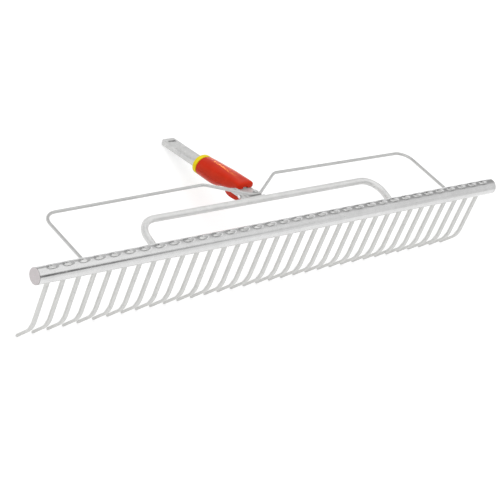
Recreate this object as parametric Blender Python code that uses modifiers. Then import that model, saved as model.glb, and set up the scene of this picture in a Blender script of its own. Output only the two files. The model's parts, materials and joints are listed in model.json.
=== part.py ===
"""Rake head with a plug-in tongue: a steel tube beam with a row of bent steel tines, a rod loop and a wire
bail behind it, and a plastic socket round a steel tongue with a sprung release lever under it.

Metres, +Z up. The head lies on its tine tips and on the free end of the tongue, with the middle of its
bounding box over the origin. The pieces are modelled in the frame of the tines, whose X runs along the beam,
Y towards the long handle and Z up along the tines. That frame is laid down on the floor at the end.
"""

import math

import bmesh
import bpy
from mathutils import Matrix, Vector

# Clearance between two pieces that touch or fit into each other
GAP = 0.0003

# Beam: a tube with a plastic plug in each end
BEAM_DIAMETER = 0.016
BEAM_WALL = 0.0012
BEAM_MARGIN = 0.0142  # from the last tine to the end of the tube
CAP_FLANGE = 0.003
CAP_PLUG = 0.008
CAP_DOME = 0.001

# Tines: round rod through both walls of the beam, peened over on top, with a bent tip
TINE_COUNT = 34
TINE_PITCH = 0.017
TINE_DIAMETER = 0.0045
TINE_STRAIGHT = 0.056
TINE_BEND_RADIUS = 0.025
TINE_BEND = math.radians(36)
TINE_TIP = 0.0205
TINE_POINT = 0.002
TINE_HEAD_DIAMETER = 0.0062
TINE_HEAD_HEIGHT = 0.001

# Stay: a rod bent to a flat loop and welded to the back of the beam
STAY_DIAMETER = 0.0067
STAY_HALF_WIDTH = 0.1555
STAY_REACH = 0.0436  # from the beam's axis to the long run
STAY_DROP = 0.0001  # of the long run under the beam's axis
STAY_SLOPE = math.radians(8.5)
STAY_CORNER = 0.020
WELD_GROWTH = 1.28
WELD_LENGTH = 0.004

# Bail: a thin wire plugged into the beam, with a vee in the middle that hooks on the neck
BAIL_DIAMETER = 0.0027
BAIL_PITCHES = 14  # each leg stands this many tine pitches from the middle, between two tines
BAIL_REACH = 0.0805
BAIL_DROP_AT_BEAM = 0.0022
BAIL_DROP = 0.0052
BAIL_DEPTH_IN_BEAM = 0.0035
BAIL_CORNER = 0.015
VEE_HALF_WIDTH = 0.0465
VEE_DROP = 0.0028
VEE_CORNER = 0.014
VEE_FLAT = 0.0060  # half width of the bottom of the vee
VEE_BOTTOM_CORNER = 0.003

# Tongue: a flat box section that the handle slides on, in a frame of its own. That frame starts at the
# middle of the stay's long run and tips down, its Y runs along the tongue and its Z is square to it.
TONGUE_TILT = math.radians(12)
TONGUE_DROP = 0.0058  # of its middle under the middle of the stay
TONGUE_WIDTH = 0.0164
TONGUE_HEIGHT = 0.006
TONGUE_WALL = 0.0015
TONGUE_START = 0.0095
TONGUE_END = 0.1530
TONGUE_EDGE = 0.0008
TONGUE_CORNER = 0.0025
CUTOUT_START = 0.018  # the underside is cut away over the lever
CUTOUT_END = 0.072
SLOT_FROM_END = 0.0076  # catch slot near the free end, across the web
SLOT_WIDTH = 0.0036
SLOT_LENGTH = 0.0100

# Neck plate: joins the stay to the tongue
PLATE_THICKNESS = 0.002
PLATE_END = 0.045
PLATE_STEP = 0.0080  # where it has come down to the tongue
PLATE_RISE = 0.0005  # of its front edge over the middle of the stay
HOOK_WIDTH = 0.004
HOOK_THICKNESS = 0.0012
HOOK_OVERHANG = 0.0040
VEE_SEAT = 0.0097  # where the vee of the bail lies on the neck plate

# Rivets of the neck
RIVET_PLACES = (0.0285, 0.0415)
RIVET_SHANK = 0.003
RIVET_HEAD = 0.0058
RIVET_HEAD_HEIGHT = 0.0012
RIVET_TAIL = 0.0040
RIVET_TAIL_HEIGHT = 0.0004

# Release lever: a moulded pad on a pin between the side walls of the tongue
PIVOT = 0.0227
PIN_DIAMETER = 0.0025
PIN_HEAD_DIAMETER = 0.0040
PIN_HEAD_HEIGHT = 0.0008
BOSS_RADIUS = 0.0025
LEVER_SIDE_GAP = 0.0005
LEVER_HEEL = 0.0022
LEVER_REACH = 0.0255
LEVER_DEPTH = 0.0070
LEVER_ROUNDING = 0.0009

# Latch blade: a steel strip riveted on the lever, with a tooth that catches the handle's sleeve
BLADE_WIDTH = 0.008
BLADE_THICKNESS = 0.0012
BLADE_START = 0.0035  # beyond the pin
BLADE_END = 0.0450  # beyond the pin
BLADE_LIFT = 0.0009  # of its top over the pin, at its start
BLADE_DROOP = math.radians(4.4)
TOOTH_DROP = 0.0018
TOOTH_LENGTH = 0.0032
BLADE_RIVET = 0.0123  # beyond the pin
BLADE_RIVET_SHANK = 0.002
BLADE_RIVET_HEAD = 0.0036
BLADE_RIVET_HEAD_HEIGHT = 0.0008
BLADE_RIVET_DEPTH = 0.0040

# Latch spring: a leaf under the top wall of the tongue that pushes the blade down
SPRING_WIDTH = 0.007
SPRING_THICKNESS = 0.0004
SPRING_END = 0.084
SPRING_BEND = 0.074
SPRING_TIP = 0.060
SPRING_BEND_RADIUS = 0.008

# Shell: a moulded socket in two halves, given by its section at stations along the tongue.
# Each row holds the distance along the tongue, what the half width adds to a snug fit round the tongue, and
# how far the section reaches under and over the tongue.
SHELL_WALL = 0.0016
SHELL_STATIONS = (
    (0.0254, -0.0014, -0.0067, 0.0062),
    (0.0262, -0.0001, -0.0063, 0.0080),
    (0.0278, 0.0003, -0.0061, 0.0087),
    (0.0320, 0.0004, -0.0059, 0.0090),
    (0.0380, 0.0006, -0.0052, 0.0093),
    (0.0440, 0.0009, -0.0020, 0.0094),
    (0.0520, 0.0015, 0.0018, 0.0094),
    (0.0600, 0.0020, 0.0049, 0.0093),
    (0.0680, 0.0022, 0.0067, 0.0091),
    (0.0770, 0.0022, 0.0070, 0.0087),
    (0.0890, 0.0020, 0.0069, 0.0078),
)
SHELL_SQUARENESS = (3.4, 3.4, 3.4, 3.4, 3.2, 3.0, 2.8, 2.5, 2.3, 2.2, 2.1)  # of the section at each station
SHELL_SIDES = 28
LOWER_START = 0.0470
LEVER_SLOT_END = 0.0585
STUD_PLACE = 0.052
STUD_DIAMETER = 0.004

# Collar: pressed over the ends of both halves
COLLAR_LENGTH = 0.006
COLLAR_THICKNESS = 0.0011
COLLAR_LIP = 0.0012  # thickness of its lip over the ends of the halves
COLLAR_ROUNDING = 0.0006

# Sides of round shapes
TUBE_SIDES = 24
HOLE_SIDES = 8
SMALL_SIDES = 12
OVERSHOOT = 0.001  # how far a cutter passes the surface that it cuts

BEAM_RADIUS = BEAM_DIAMETER / 2
STAY_RADIUS = STAY_DIAMETER / 2
HALF_HEIGHT = TONGUE_HEIGHT / 2
WEB_UNDER = HALF_HEIGHT - TONGUE_WALL
INNER_HALF_WIDTH = TONGUE_WIDTH / 2 - TONGUE_WALL
PLATE_LEVEL = HALF_HEIGHT + GAP + PLATE_THICKNESS / 2
PLATE_TOP = PLATE_LEVEL + PLATE_THICKNESS / 2
VEE_LEVEL = PLATE_TOP + GAP + BAIL_DIAMETER / 2
PIVOT_LEVEL = WEB_UNDER - GAP - BOSS_RADIUS
SNUG_HALF_WIDTH = TONGUE_WIDTH / 2 + GAP + SHELL_WALL
COLLAR_START = SHELL_STATIONS[-1][0]


# Scene, collections and finishes


def clear_scene():
    for obj in list(bpy.data.objects):
        bpy.data.objects.remove(obj, do_unlink=True)


def new_collection(name):
    collection = bpy.data.collections.new(name)
    bpy.context.scene.collection.children.link(collection)
    return collection


def finish(name, colour, roughness, metallic):
    material = bpy.data.materials.new(name)
    material.use_nodes = True
    shader = material.node_tree.nodes["Principled BSDF"]
    shader.inputs["Base Color"].default_value = (*colour, 1)
    shader.inputs["Roughness"].default_value = roughness
    shader.inputs["Metallic"].default_value = metallic
    return material


def empty(name, parent, place, tilt):
    obj = bpy.data.objects.new(name, None)
    obj.empty_display_size = 0.02
    PARTS.objects.link(obj)
    obj.parent = parent
    obj.location = place
    obj.rotation_euler = (tilt, 0, 0)
    return obj


def part(name, data, material, frame, place=(0, 0, 0)):
    """A named piece of the rake, placed in its frame."""
    obj = bpy.data.objects.new(name, data)
    PARTS.objects.link(obj)
    obj.parent = frame
    obj.location = place
    if not data.materials:
        data.materials.append(material)
    return obj


def cutter(name, mesh, frame, place=(0, 0, 0)):
    obj = bpy.data.objects.new(name, mesh)
    CUTTERS.objects.link(obj)
    obj.parent = frame
    obj.location = place
    obj.hide_render = True
    obj.display_type = "WIRE"
    return obj


def boolean(obj, other, operation="DIFFERENCE"):
    modifier = obj.modifiers.new(other.name, "BOOLEAN")
    modifier.operation = operation
    modifier.solver = "EXACT"
    modifier.object = other


def rounded_edges(obj, width, segments=2):
    modifier = obj.modifiers.new("rounded_edges", "BEVEL")
    modifier.width = width
    modifier.segments = segments
    modifier.limit_method = "ANGLE"
    modifier.angle_limit = math.radians(50)


# Shapes


def mesh_from(build, name):
    """A mesh made by a function that fills a bmesh."""
    mesh = bpy.data.meshes.new(name)
    shape = bmesh.new()
    build(shape)
    shape.to_mesh(mesh)
    shape.free()
    return mesh


def box(name, low, high):
    """A block between two corners."""
    low, high = Vector(low), Vector(high)
    size = high - low
    matrix = Matrix.Translation((low + high) / 2) @ Matrix.Diagonal((*size, 1))
    return mesh_from(lambda shape: bmesh.ops.create_cube(shape, size=1, matrix=matrix), name)


def cylinders(name, ends, radius, sides):
    """Straight cylinders, each from one point to another, in one mesh."""

    def build(shape):
        for start, end in ends:
            start, end = Vector(start), Vector(end)
            turn = (end - start).to_track_quat("Z", "Y").to_matrix().to_4x4()
            bmesh.ops.create_cone(
                shape,
                cap_ends=True,
                segments=sides,
                radius1=radius,
                radius2=radius,
                depth=(end - start).length,
                matrix=Matrix.Translation((start + end) / 2) @ turn,
            )

    return mesh_from(build, name)


def turned(obj, sides):
    """Turns the profile of a mesh once round the object's Z axis."""
    modifier = obj.modifiers.new("turned", "SCREW")
    modifier.angle = math.tau
    modifier.steps = sides
    modifier.render_steps = sides
    modifier.use_merge_vertices = True
    modifier.merge_threshold = 0.00001


def profile(name, points):
    """A line through points of radius and height, for turning. It runs from top to bottom."""

    def build(shape):
        corners = [shape.verts.new((radius, 0, height)) for radius, height in points]
        for first, second in zip(corners, corners[1:]):
            shape.edges.new((first, second))

    return mesh_from(build, name)


def rounded(points, radii, steps):
    """The line through the points, with an arc of the given radius at each inner corner."""
    path = [Vector(points[0])]
    for before, corner, after, radius in zip(points, points[1:], points[2:], radii):
        corner = Vector(corner)
        back = (Vector(before) - corner).normalized()
        ahead = (Vector(after) - corner).normalized()
        half = back.angle(ahead) / 2
        reach = radius / math.tan(half)
        centre = corner + (back + ahead).normalized() * radius / math.sin(half)
        start = corner + back * reach - centre
        end = corner + ahead * reach - centre
        turn = start.angle(end)
        for step in range(steps + 1):
            share = step / steps
            spoke = start * math.sin((1 - share) * turn) + end * math.sin(share * turn)
            path.append(centre + spoke / math.sin(turn))
    path.append(Vector(points[-1]))
    return path


def rod(name, path, diameter, swell=None):
    """A round rod along a path, as a curve. Swell gives the thickness at each point as a share of the rod's."""
    curve = bpy.data.curves.new(name, "CURVE")
    curve.dimensions = "3D"
    curve.bevel_depth = diameter / 2
    curve.bevel_resolution = 2
    curve.use_fill_caps = True
    spline = curve.splines.new("POLY")
    spline.points.add(len(path) - 1)
    for point, place, size in zip(spline.points, path, swell or [1] * len(path)):
        point.co = (*place, 1)
        point.radius = size
    return curve


def as_mesh(curve):
    """The curve as a mesh whose caps are welded on."""
    guide = bpy.data.objects.new(curve.name, curve)
    bpy.context.scene.collection.objects.link(guide)
    graph = bpy.context.evaluated_depsgraph_get()
    mesh = bpy.data.meshes.new_from_object(guide.evaluated_get(graph))
    bpy.data.objects.remove(guide, do_unlink=True)
    shape = bmesh.new()
    shape.from_mesh(mesh)
    bmesh.ops.remove_doubles(shape, verts=shape.verts, dist=0.000001)
    bmesh.ops.recalc_face_normals(shape, faces=shape.faces)
    shape.to_mesh(mesh)
    shape.free()
    return mesh


def slab(name, outline, width):
    """A flat outline of (Y, Z) points, made this wide across X."""
    curve = bpy.data.curves.new(name, "CURVE")
    curve.dimensions = "2D"
    curve.fill_mode = "BOTH"
    curve.extrude = width / 2
    spline = curve.splines.new("POLY")
    spline.points.add(len(outline) - 1)
    for point, place in zip(spline.points, outline):
        point.co = (*place, 0, 1)
    spline.use_cyclic_u = True
    mesh = as_mesh(curve)
    upright = Matrix(((0, 0, 1, 0), (1, 0, 0, 0), (0, 1, 0, 0), (0, 0, 0, 1)))
    mesh.transform(upright)
    return mesh


def strip(name, path, width):
    """An open surface along a path of (Y, Z) points, this wide across X, for Solidify."""

    def build(shape):
        rows = [[shape.verts.new((x, y, z)) for x in (-width / 2, width / 2)] for y, z in path]
        for (a, b), (c, d) in zip(rows, rows[1:]):
            shape.faces.new((a, b, d, c))

    return mesh_from(build, name)


def thickened(obj, thickness):
    modifier = obj.modifiers.new("thickened", "SOLIDIFY")
    modifier.thickness = thickness
    modifier.offset = 0
    modifier.use_even_offset = True


def section(half_width, bottom, top, squareness, sides):
    """Points (X, Z) of a rounded box, from a circle-like one at squareness 2 to a square one."""
    middle, half_height = (top + bottom) / 2, (top - bottom) / 2
    points = []
    for side in range(sides):
        angle = math.tau * (side + 0.5) / sides
        across, up = math.cos(angle), math.sin(angle)
        x = half_width * math.copysign(abs(across) ** (2 / squareness), across)
        z = middle + half_height * math.copysign(abs(up) ** (2 / squareness), up)
        points.append((x, z))
    return points


def loft(name, stations):
    """A closed solid through sections. A station holds a distance along Y and the section's points."""

    def build(shape):
        rings = [[shape.verts.new((x, y, z)) for x, z in points] for y, points in stations]
        for first, second in zip(rings, rings[1:]):
            count = len(first)
            for k in range(count):
                n = (k + 1) % count
                shape.faces.new((first[k], second[k], second[n], first[n]))
        shape.faces.new(rings[0])
        shape.faces.new(rings[-1])
        bmesh.ops.recalc_face_normals(shape, faces=shape.faces)

    return mesh_from(build, name)


# Beam, caps and tines


def tine_places():
    middle = (TINE_COUNT - 1) / 2
    return [(number - middle) * TINE_PITCH for number in range(TINE_COUNT)]


def tube_half_length():
    return tine_places()[-1] + BEAM_MARGIN


def bail_leg_line():
    """The two ends of the straight leg on the +X side, from inside the beam to the outer corner."""
    x = BAIL_PITCHES * TINE_PITCH
    start = Vector((x, BAIL_DEPTH_IN_BEAM, -BAIL_DROP_AT_BEAM))
    return start, Vector((x, BAIL_REACH, -BAIL_DROP))


def add_beam():
    half = tube_half_length()
    ends = [((-half, 0, 0), (half, 0, 0))]
    beam = part("beam_tube", cylinders("beam_tube", ends, BEAM_RADIUS, TUBE_SIDES), STEEL, RAKE)
    passed = half + OVERSHOOT
    ends = [((-passed, 0, 0), (passed, 0, 0))]
    bore = cylinders("beam_bore", ends, BEAM_RADIUS - BEAM_WALL, TUBE_SIDES)
    boolean(beam, cutter("beam_bore", bore, RAKE))
    reach = BEAM_RADIUS + OVERSHOOT
    ends = [((x, 0, -reach), (x, 0, reach)) for x in tine_places()]
    holes = cylinders("tine_holes", ends, TINE_DIAMETER / 2 + GAP, HOLE_SIDES)
    boolean(beam, cutter("tine_holes", holes, RAKE))
    inside, corner = bail_leg_line()
    outside = inside + (corner - inside).normalized() * BEAM_DIAMETER
    ends = [
        ((sign * inside.x, *inside.yz), (sign * outside.x, *outside.yz)) for sign in (-1, 1)
    ]
    holes = cylinders("bail_holes", ends, BAIL_DIAMETER / 2 + GAP, HOLE_SIDES)
    boolean(beam, cutter("bail_holes", holes, RAKE))
    beam.data.shade_smooth()
    beam.data.set_sharp_from_angle(angle=math.radians(40))


def add_caps():
    plug = BEAM_RADIUS - BEAM_WALL - GAP
    points = (
        (0, CAP_FLANGE + GAP),
        (plug, CAP_FLANGE + GAP),
        (BEAM_RADIUS, CAP_FLANGE + GAP - CAP_DOME),
        (BEAM_RADIUS, GAP),
        (plug, GAP),
        (plug, -CAP_PLUG),
        (0, -CAP_PLUG),
    )
    for name, sign in (("end_cap_left", -1), ("end_cap_right", 1)):
        mesh = profile(name, points)
        cap = part(name, mesh, CAP_PLASTIC, RAKE, (sign * tube_half_length(), 0, 0))
        cap.rotation_euler = (0, sign * math.pi / 2, 0)
        turned(cap, TUBE_SIDES)


def tine_path():
    """The middle line of a tine in the Y-Z plane and its thickness there, from the head to the point."""
    seat = BEAM_RADIUS + GAP
    head = TINE_HEAD_DIAMETER / TINE_DIAMETER
    path = [
        ((0, seat + TINE_HEAD_HEIGHT), head * 0.55),
        ((0, seat + TINE_HEAD_HEIGHT * 0.6), head * 0.95),
        ((0, seat), head),
        ((0, seat - 0.1 * GAP), 1),
    ]
    for step in range(5):
        angle = TINE_BEND * step / 4
        y = TINE_BEND_RADIUS * (1 - math.cos(angle))
        z = -TINE_STRAIGHT - TINE_BEND_RADIUS * math.sin(angle)
        path.append(((y, z), 1))
    for distance, size in ((TINE_TIP - TINE_POINT, 1), (TINE_TIP, 0.7)):
        path.append(
            ((y + distance * math.sin(TINE_BEND), z - distance * math.cos(TINE_BEND)), size)
        )
    return path


def add_tines():
    path = tine_path()
    line = [(0, y, z) for (y, z), size in path]
    curve = rod("tine", line, TINE_DIAMETER, [size for place, size in path])
    for number, x in enumerate(tine_places(), start=1):
        part(f"tine_{number:02d}", curve, STEEL, RAKE, (x, 0, 0))


# Stay and bail


def add_stay():
    run = Vector((0, STAY_REACH, -STAY_DROP))
    slope = Vector((0, math.cos(STAY_SLOPE), math.sin(STAY_SLOPE)))
    side = Vector((STAY_HALF_WIDTH, 0, 0))
    root = run - slope * STAY_REACH
    corners = [root - side, run - side, run + side, root + side]
    path = rounded(corners, (STAY_CORNER, STAY_CORNER), 5)
    # The weld is a thicker stretch where the rod meets the beam.
    start = BEAM_RADIUS + WELD_LENGTH
    weld = [path[0] + slope * start, path[0] + slope * (start + WELD_LENGTH / 4)]
    back = [path[-1] + slope * (start + WELD_LENGTH / 4), path[-1] + slope * start]
    line = [path[0], *weld, *path[1:-1], *back, path[-1]]
    swell = [WELD_GROWTH, WELD_GROWTH, *[1] * (len(line) - 4), WELD_GROWTH, WELD_GROWTH]
    mesh = as_mesh(rod("stay_loop", line, STAY_DIAMETER, swell))
    stay = part("stay_loop", mesh, STEEL, RAKE)
    half = tube_half_length()
    clear = cylinders("stay_seat", [((-half, 0, 0), (half, 0, 0))], BEAM_RADIUS + GAP, TUBE_SIDES)
    boolean(stay, cutter("stay_seat", clear, RAKE))
    stay.data.shade_smooth()
    stay.data.set_sharp_from_angle(angle=math.radians(50))


def on_tongue(distance, level):
    """A point of the tongue's frame, in the frame of the tines."""
    along = Vector((0, math.cos(TONGUE_TILT), -math.sin(TONGUE_TILT)))
    square = Vector((0, math.sin(TONGUE_TILT), math.cos(TONGUE_TILT)))
    start = Vector((0, STAY_REACH, -STAY_DROP)) - square * TONGUE_DROP
    return start + along * distance + square * level


def add_bail():
    inside, corner = bail_leg_line()
    seat = on_tongue(VEE_SEAT, VEE_LEVEL)
    half = [
        inside,
        corner,
        Vector((VEE_HALF_WIDTH, BAIL_REACH, -VEE_DROP)),
        Vector((VEE_FLAT, seat.y, seat.z)),
    ]
    mirrored = [Vector((-place.x, place.y, place.z)) for place in reversed(half)]
    radii = (BAIL_CORNER, VEE_CORNER, VEE_BOTTOM_CORNER)
    path = rounded(half + mirrored, (*radii, *reversed(radii)), 5)
    part("catch_bail", rod("catch_bail", path, BAIL_DIAMETER), STEEL, RAKE)


# Neck and tongue


def add_tongue():
    half_width = TONGUE_WIDTH / 2
    mesh = box(
        "tongue", (-half_width, TONGUE_START, -HALF_HEIGHT), (half_width, TONGUE_END, HALF_HEIGHT)
    )
    shape = bmesh.new()
    shape.from_mesh(mesh)
    ends = [
        edge
        for edge in shape.edges
        if all(vert.co.y > TONGUE_END - GAP for vert in edge.verts)
        and abs(edge.verts[0].co.z - edge.verts[1].co.z) > HALF_HEIGHT
    ]
    bmesh.ops.bevel(
        shape, geom=ends, offset=TONGUE_CORNER, segments=3, profile=0.5, affect="EDGES"
    )
    shape.to_mesh(mesh)
    shape.free()
    tongue = part("tongue", mesh, STEEL, TONGUE)
    rounded_edges(tongue, TONGUE_EDGE)
    hollow = box(
        "tongue_hollow",
        (-INNER_HALF_WIDTH, TONGUE_START - OVERSHOOT, -WEB_UNDER),
        (INNER_HALF_WIDTH, TONGUE_END + OVERSHOOT, WEB_UNDER),
    )
    boolean(tongue, cutter("tongue_hollow", hollow, TONGUE))
    cutout = box(
        "lever_cutout",
        (-INNER_HALF_WIDTH, CUTOUT_START, -HALF_HEIGHT - OVERSHOOT),
        (INNER_HALF_WIDTH, CUTOUT_END, 0),
    )
    boolean(tongue, cutter("lever_cutout", cutout, TONGUE))
    top = HALF_HEIGHT + OVERSHOOT
    ends = [((0, place, 0), (0, place, top)) for place in RIVET_PLACES]
    holes = cylinders("rivet_holes", ends, RIVET_SHANK / 2 + GAP, SMALL_SIDES)
    boolean(tongue, cutter("rivet_holes", holes, TONGUE))
    ends = [((0, STUD_PLACE, 0), (0, STUD_PLACE, top))]
    hole = cylinders("stud_hole", ends, STUD_DIAMETER / 2 + GAP, SMALL_SIDES)
    boolean(tongue, cutter("stud_hole", hole, TONGUE))
    middle = TONGUE_END - SLOT_FROM_END
    slot = box(
        "catch_slot",
        (-SLOT_LENGTH / 2, middle - SLOT_WIDTH / 2, 0),
        (SLOT_LENGTH / 2, middle + SLOT_WIDTH / 2, top),
    )
    boolean(tongue, cutter("catch_slot", slot, TONGUE))
    across = half_width + OVERSHOOT
    ends = [((-across, PIVOT, PIVOT_LEVEL), (across, PIVOT, PIVOT_LEVEL))]
    hole = cylinders("pin_holes", ends, PIN_DIAMETER / 2 + GAP, SMALL_SIDES)
    boolean(tongue, cutter("pin_holes", hole, TONGUE))


def plate_path():
    """The middle of the neck plate, from the back of the stay to its end on the tongue, as (Y, Z)."""
    level = TONGUE_DROP + PLATE_RISE
    front = STAY_RADIUS + GAP
    corners = (
        (0, front, level),
        (0, front + (PLATE_STEP - front) * 0.45, level),
        (0, PLATE_STEP, PLATE_LEVEL),
        (0, PLATE_END, PLATE_LEVEL),
    )
    radius = 2 * PLATE_THICKNESS
    return [(place.y, place.z) for place in rounded(corners, (radius, radius), 3)]


def add_neck_plate():
    plate = part("neck_plate", strip("neck_plate", plate_path(), TONGUE_WIDTH), STEEL, TONGUE)
    thickened(plate, PLATE_THICKNESS)
    front = VEE_SEAT + BAIL_DIAMETER / 2 + GAP
    back = front + HOOK_THICKNESS
    under = VEE_LEVEL + BAIL_DIAMETER / 2 + GAP
    outline = (
        (front, PLATE_LEVEL),
        (back, PLATE_LEVEL),
        (back, under + HOOK_THICKNESS),
        (back - HOOK_OVERHANG, under + HOOK_THICKNESS),
        (back - HOOK_OVERHANG, under),
        (front, under),
    )
    boolean(plate, cutter("vee_hook", slab("vee_hook", outline, HOOK_WIDTH), TONGUE), "UNION")
    top = PLATE_TOP + OVERSHOOT
    ends = [((0, place, HALF_HEIGHT), (0, place, top)) for place in RIVET_PLACES]
    holes = cylinders("plate_holes", ends, RIVET_SHANK / 2 + GAP, SMALL_SIDES)
    boolean(plate, cutter("plate_holes", holes, TONGUE))


def add_neck_rivets():
    head, tail = PLATE_TOP + GAP, WEB_UNDER - GAP
    points = (
        (0, head + RIVET_HEAD_HEIGHT),
        (RIVET_HEAD / 3, head + RIVET_HEAD_HEIGHT * 0.85),
        (RIVET_HEAD / 2, head + RIVET_HEAD_HEIGHT * 0.3),
        (RIVET_HEAD / 2, head),
        (RIVET_SHANK / 2, head),
        (RIVET_SHANK / 2, tail),
        (RIVET_TAIL / 2, tail),
        (RIVET_TAIL / 2, tail - RIVET_TAIL_HEIGHT),
        (0, tail - RIVET_TAIL_HEIGHT),
    )
    for name, place in zip(("neck_rivet_front", "neck_rivet_rear"), RIVET_PLACES):
        rivet = part(name, profile(name, points), STEEL, TONGUE, (0, place, 0))
        turned(rivet, SMALL_SIDES)


# Release lever, its pin, latch blade and spring. The lever's frame lies on its joint axis.


def blade_top(distance):
    """Height of the top of the latch blade over the pin, at a distance beyond the pin."""
    return BLADE_LIFT - (distance - BLADE_START) * math.tan(BLADE_DROOP)


def lever_top(distance):
    return blade_top(distance) - BLADE_THICKNESS - GAP


def add_lever():
    steps = 12
    outline = []
    for step in range(1, steps + 1):
        share = step / steps
        y = -LEVER_HEEL + share * (LEVER_HEEL + LEVER_REACH)
        fullness = (1 - abs(2 * share - 1) ** 2.4) ** (1 / 2.4)
        outline.append((y, lever_top(y) - LEVER_DEPTH * fullness))
    outline.append((BLADE_START, lever_top(BLADE_START)))
    for step in range(9):
        angle = math.pi * step / 8
        outline.append((BOSS_RADIUS * math.cos(angle), BOSS_RADIUS * math.sin(angle)))
    width = 2 * (INNER_HALF_WIDTH - LEVER_SIDE_GAP)
    lever = part("release_lever", slab("release_lever", outline, width), RED_PLASTIC, LEVER)
    rounded_edges(lever, LEVER_ROUNDING)
    half = width / 2 + OVERSHOOT
    hole = cylinders(
        "lever_bore", [((-half, 0, 0), (half, 0, 0))], PIN_DIAMETER / 2 + GAP, SMALL_SIDES
    )
    boolean(lever, cutter("lever_bore", hole, LEVER))
    top = lever_top(BLADE_RIVET)
    ends = [((0, BLADE_RIVET, top - BLADE_RIVET_DEPTH - GAP), (0, BLADE_RIVET, top + OVERSHOOT))]
    hole = cylinders("lever_rivet_hole", ends, BLADE_RIVET_SHANK / 2 + GAP, SMALL_SIDES)
    boolean(lever, cutter("lever_rivet_hole", hole, LEVER))


def add_latch_blade():
    under = [blade_top(y) - BLADE_THICKNESS for y in (BLADE_START, BLADE_END)]
    tooth = under[1] - TOOTH_DROP
    outline = (
        (BLADE_START, under[0]),
        (BLADE_END - TOOTH_LENGTH, lever_top(BLADE_END - TOOTH_LENGTH) + GAP),
        (BLADE_END - TOOTH_LENGTH, tooth),
        (BLADE_END - TOOTH_LENGTH / 2, tooth),
        (BLADE_END, under[1]),
        (BLADE_END, blade_top(BLADE_END)),
        (BLADE_START, blade_top(BLADE_START)),
    )
    blade = part("latch_blade", slab("latch_blade", outline, BLADE_WIDTH), STEEL, LEVER)
    top = blade_top(BLADE_RIVET) + OVERSHOOT
    ends = [((0, BLADE_RIVET, lever_top(BLADE_RIVET) - OVERSHOOT), (0, BLADE_RIVET, top))]
    hole = cylinders("blade_hole", ends, BLADE_RIVET_SHANK / 2 + GAP, SMALL_SIDES)
    boolean(blade, cutter("blade_hole", hole, LEVER))


def add_blade_rivet():
    # The head clears the sloping blade at its rear edge.
    seat = blade_top(BLADE_RIVET - BLADE_RIVET_HEAD / 2) + GAP
    points = (
        (0, seat + BLADE_RIVET_HEAD_HEIGHT),
        (BLADE_RIVET_HEAD / 2, seat + BLADE_RIVET_HEAD_HEIGHT / 3),
        (BLADE_RIVET_HEAD / 2, seat),
        (BLADE_RIVET_SHANK / 2, seat),
        (BLADE_RIVET_SHANK / 2, lever_top(BLADE_RIVET) - BLADE_RIVET_DEPTH),
        (0, lever_top(BLADE_RIVET) - BLADE_RIVET_DEPTH),
    )
    mesh = profile("blade_rivet", points)
    turned(part("blade_rivet", mesh, STEEL, LEVER, (0, BLADE_RIVET, 0)), SMALL_SIDES)


def add_lever_pin():
    inner = TONGUE_WIDTH / 2 + GAP
    points = (
        (0, inner + PIN_HEAD_HEIGHT),
        (PIN_HEAD_DIAMETER / 2, inner + PIN_HEAD_HEIGHT / 2),
        (PIN_HEAD_DIAMETER / 2, inner),
        (PIN_DIAMETER / 2, inner),
        (PIN_DIAMETER / 2, -inner),
        (PIN_HEAD_DIAMETER / 2, -inner),
        (PIN_HEAD_DIAMETER / 2, -inner - PIN_HEAD_HEIGHT / 2),
        (0, -inner - PIN_HEAD_HEIGHT),
    )
    pin = part("lever_pin", profile("lever_pin", points), STEEL, TONGUE, (0, PIVOT, PIVOT_LEVEL))
    pin.rotation_euler = (0, math.pi / 2, 0)
    turned(pin, SMALL_SIDES)


def add_latch_spring():
    flat = WEB_UNDER - GAP - SPRING_THICKNESS / 2
    tip = PIVOT_LEVEL + blade_top(SPRING_TIP - PIVOT) + GAP + SPRING_THICKNESS
    corners = (
        (0, SPRING_END, flat),
        (0, SPRING_BEND, flat),
        (0, SPRING_TIP, tip),
    )
    path = [(place.y, place.z) for place in rounded(corners, (SPRING_BEND_RADIUS,), 3)]
    spring = part("latch_spring", strip("latch_spring", path, SPRING_WIDTH), STEEL, TONGUE)
    thickened(spring, SPRING_THICKNESS)


# Socket: shell halves and collar


def shell_section(place, inset):
    """The outline of the shell at the station of that place in the list, drawn in by the inset."""
    distance, growth, under, over = SHELL_STATIONS[place]
    return section(
        SNUG_HALF_WIDTH + growth - inset,
        -HALF_HEIGHT - under + inset,
        HALF_HEIGHT + over - inset,
        SHELL_SQUARENESS[place],
        SHELL_SIDES,
    )


def shell_top(distance):
    """How high the outside of the shell stands at that distance along the tongue."""
    for near, far in zip(SHELL_STATIONS, SHELL_STATIONS[1:]):
        if distance <= far[0]:
            share = (distance - near[0]) / (far[0] - near[0])
            return HALF_HEIGHT + near[3] + (far[3] - near[3]) * share
    return HALF_HEIGHT + SHELL_STATIONS[-1][3]


def shell_outer(name):
    """The outside of both halves, with the spigot that the collar goes over."""
    stations = [(row[0], shell_section(place, 0)) for place, row in enumerate(SHELL_STATIONS)]
    spigot = shell_section(-1, COLLAR_THICKNESS + GAP)
    end = COLLAR_START + COLLAR_LENGTH - COLLAR_LIP - GAP
    return loft(name, [*stations, (COLLAR_START, spigot), (end, spigot)])


def shell_inner(name):
    """The hollow of both halves, from behind the front wall to past the open end."""
    stations = [(row[0], shell_section(place, SHELL_WALL)) for place, row in enumerate(SHELL_STATIONS)]
    return loft(name, [*stations[2:], (COLLAR_START + 2 * COLLAR_LENGTH, stations[-1][1])])


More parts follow.
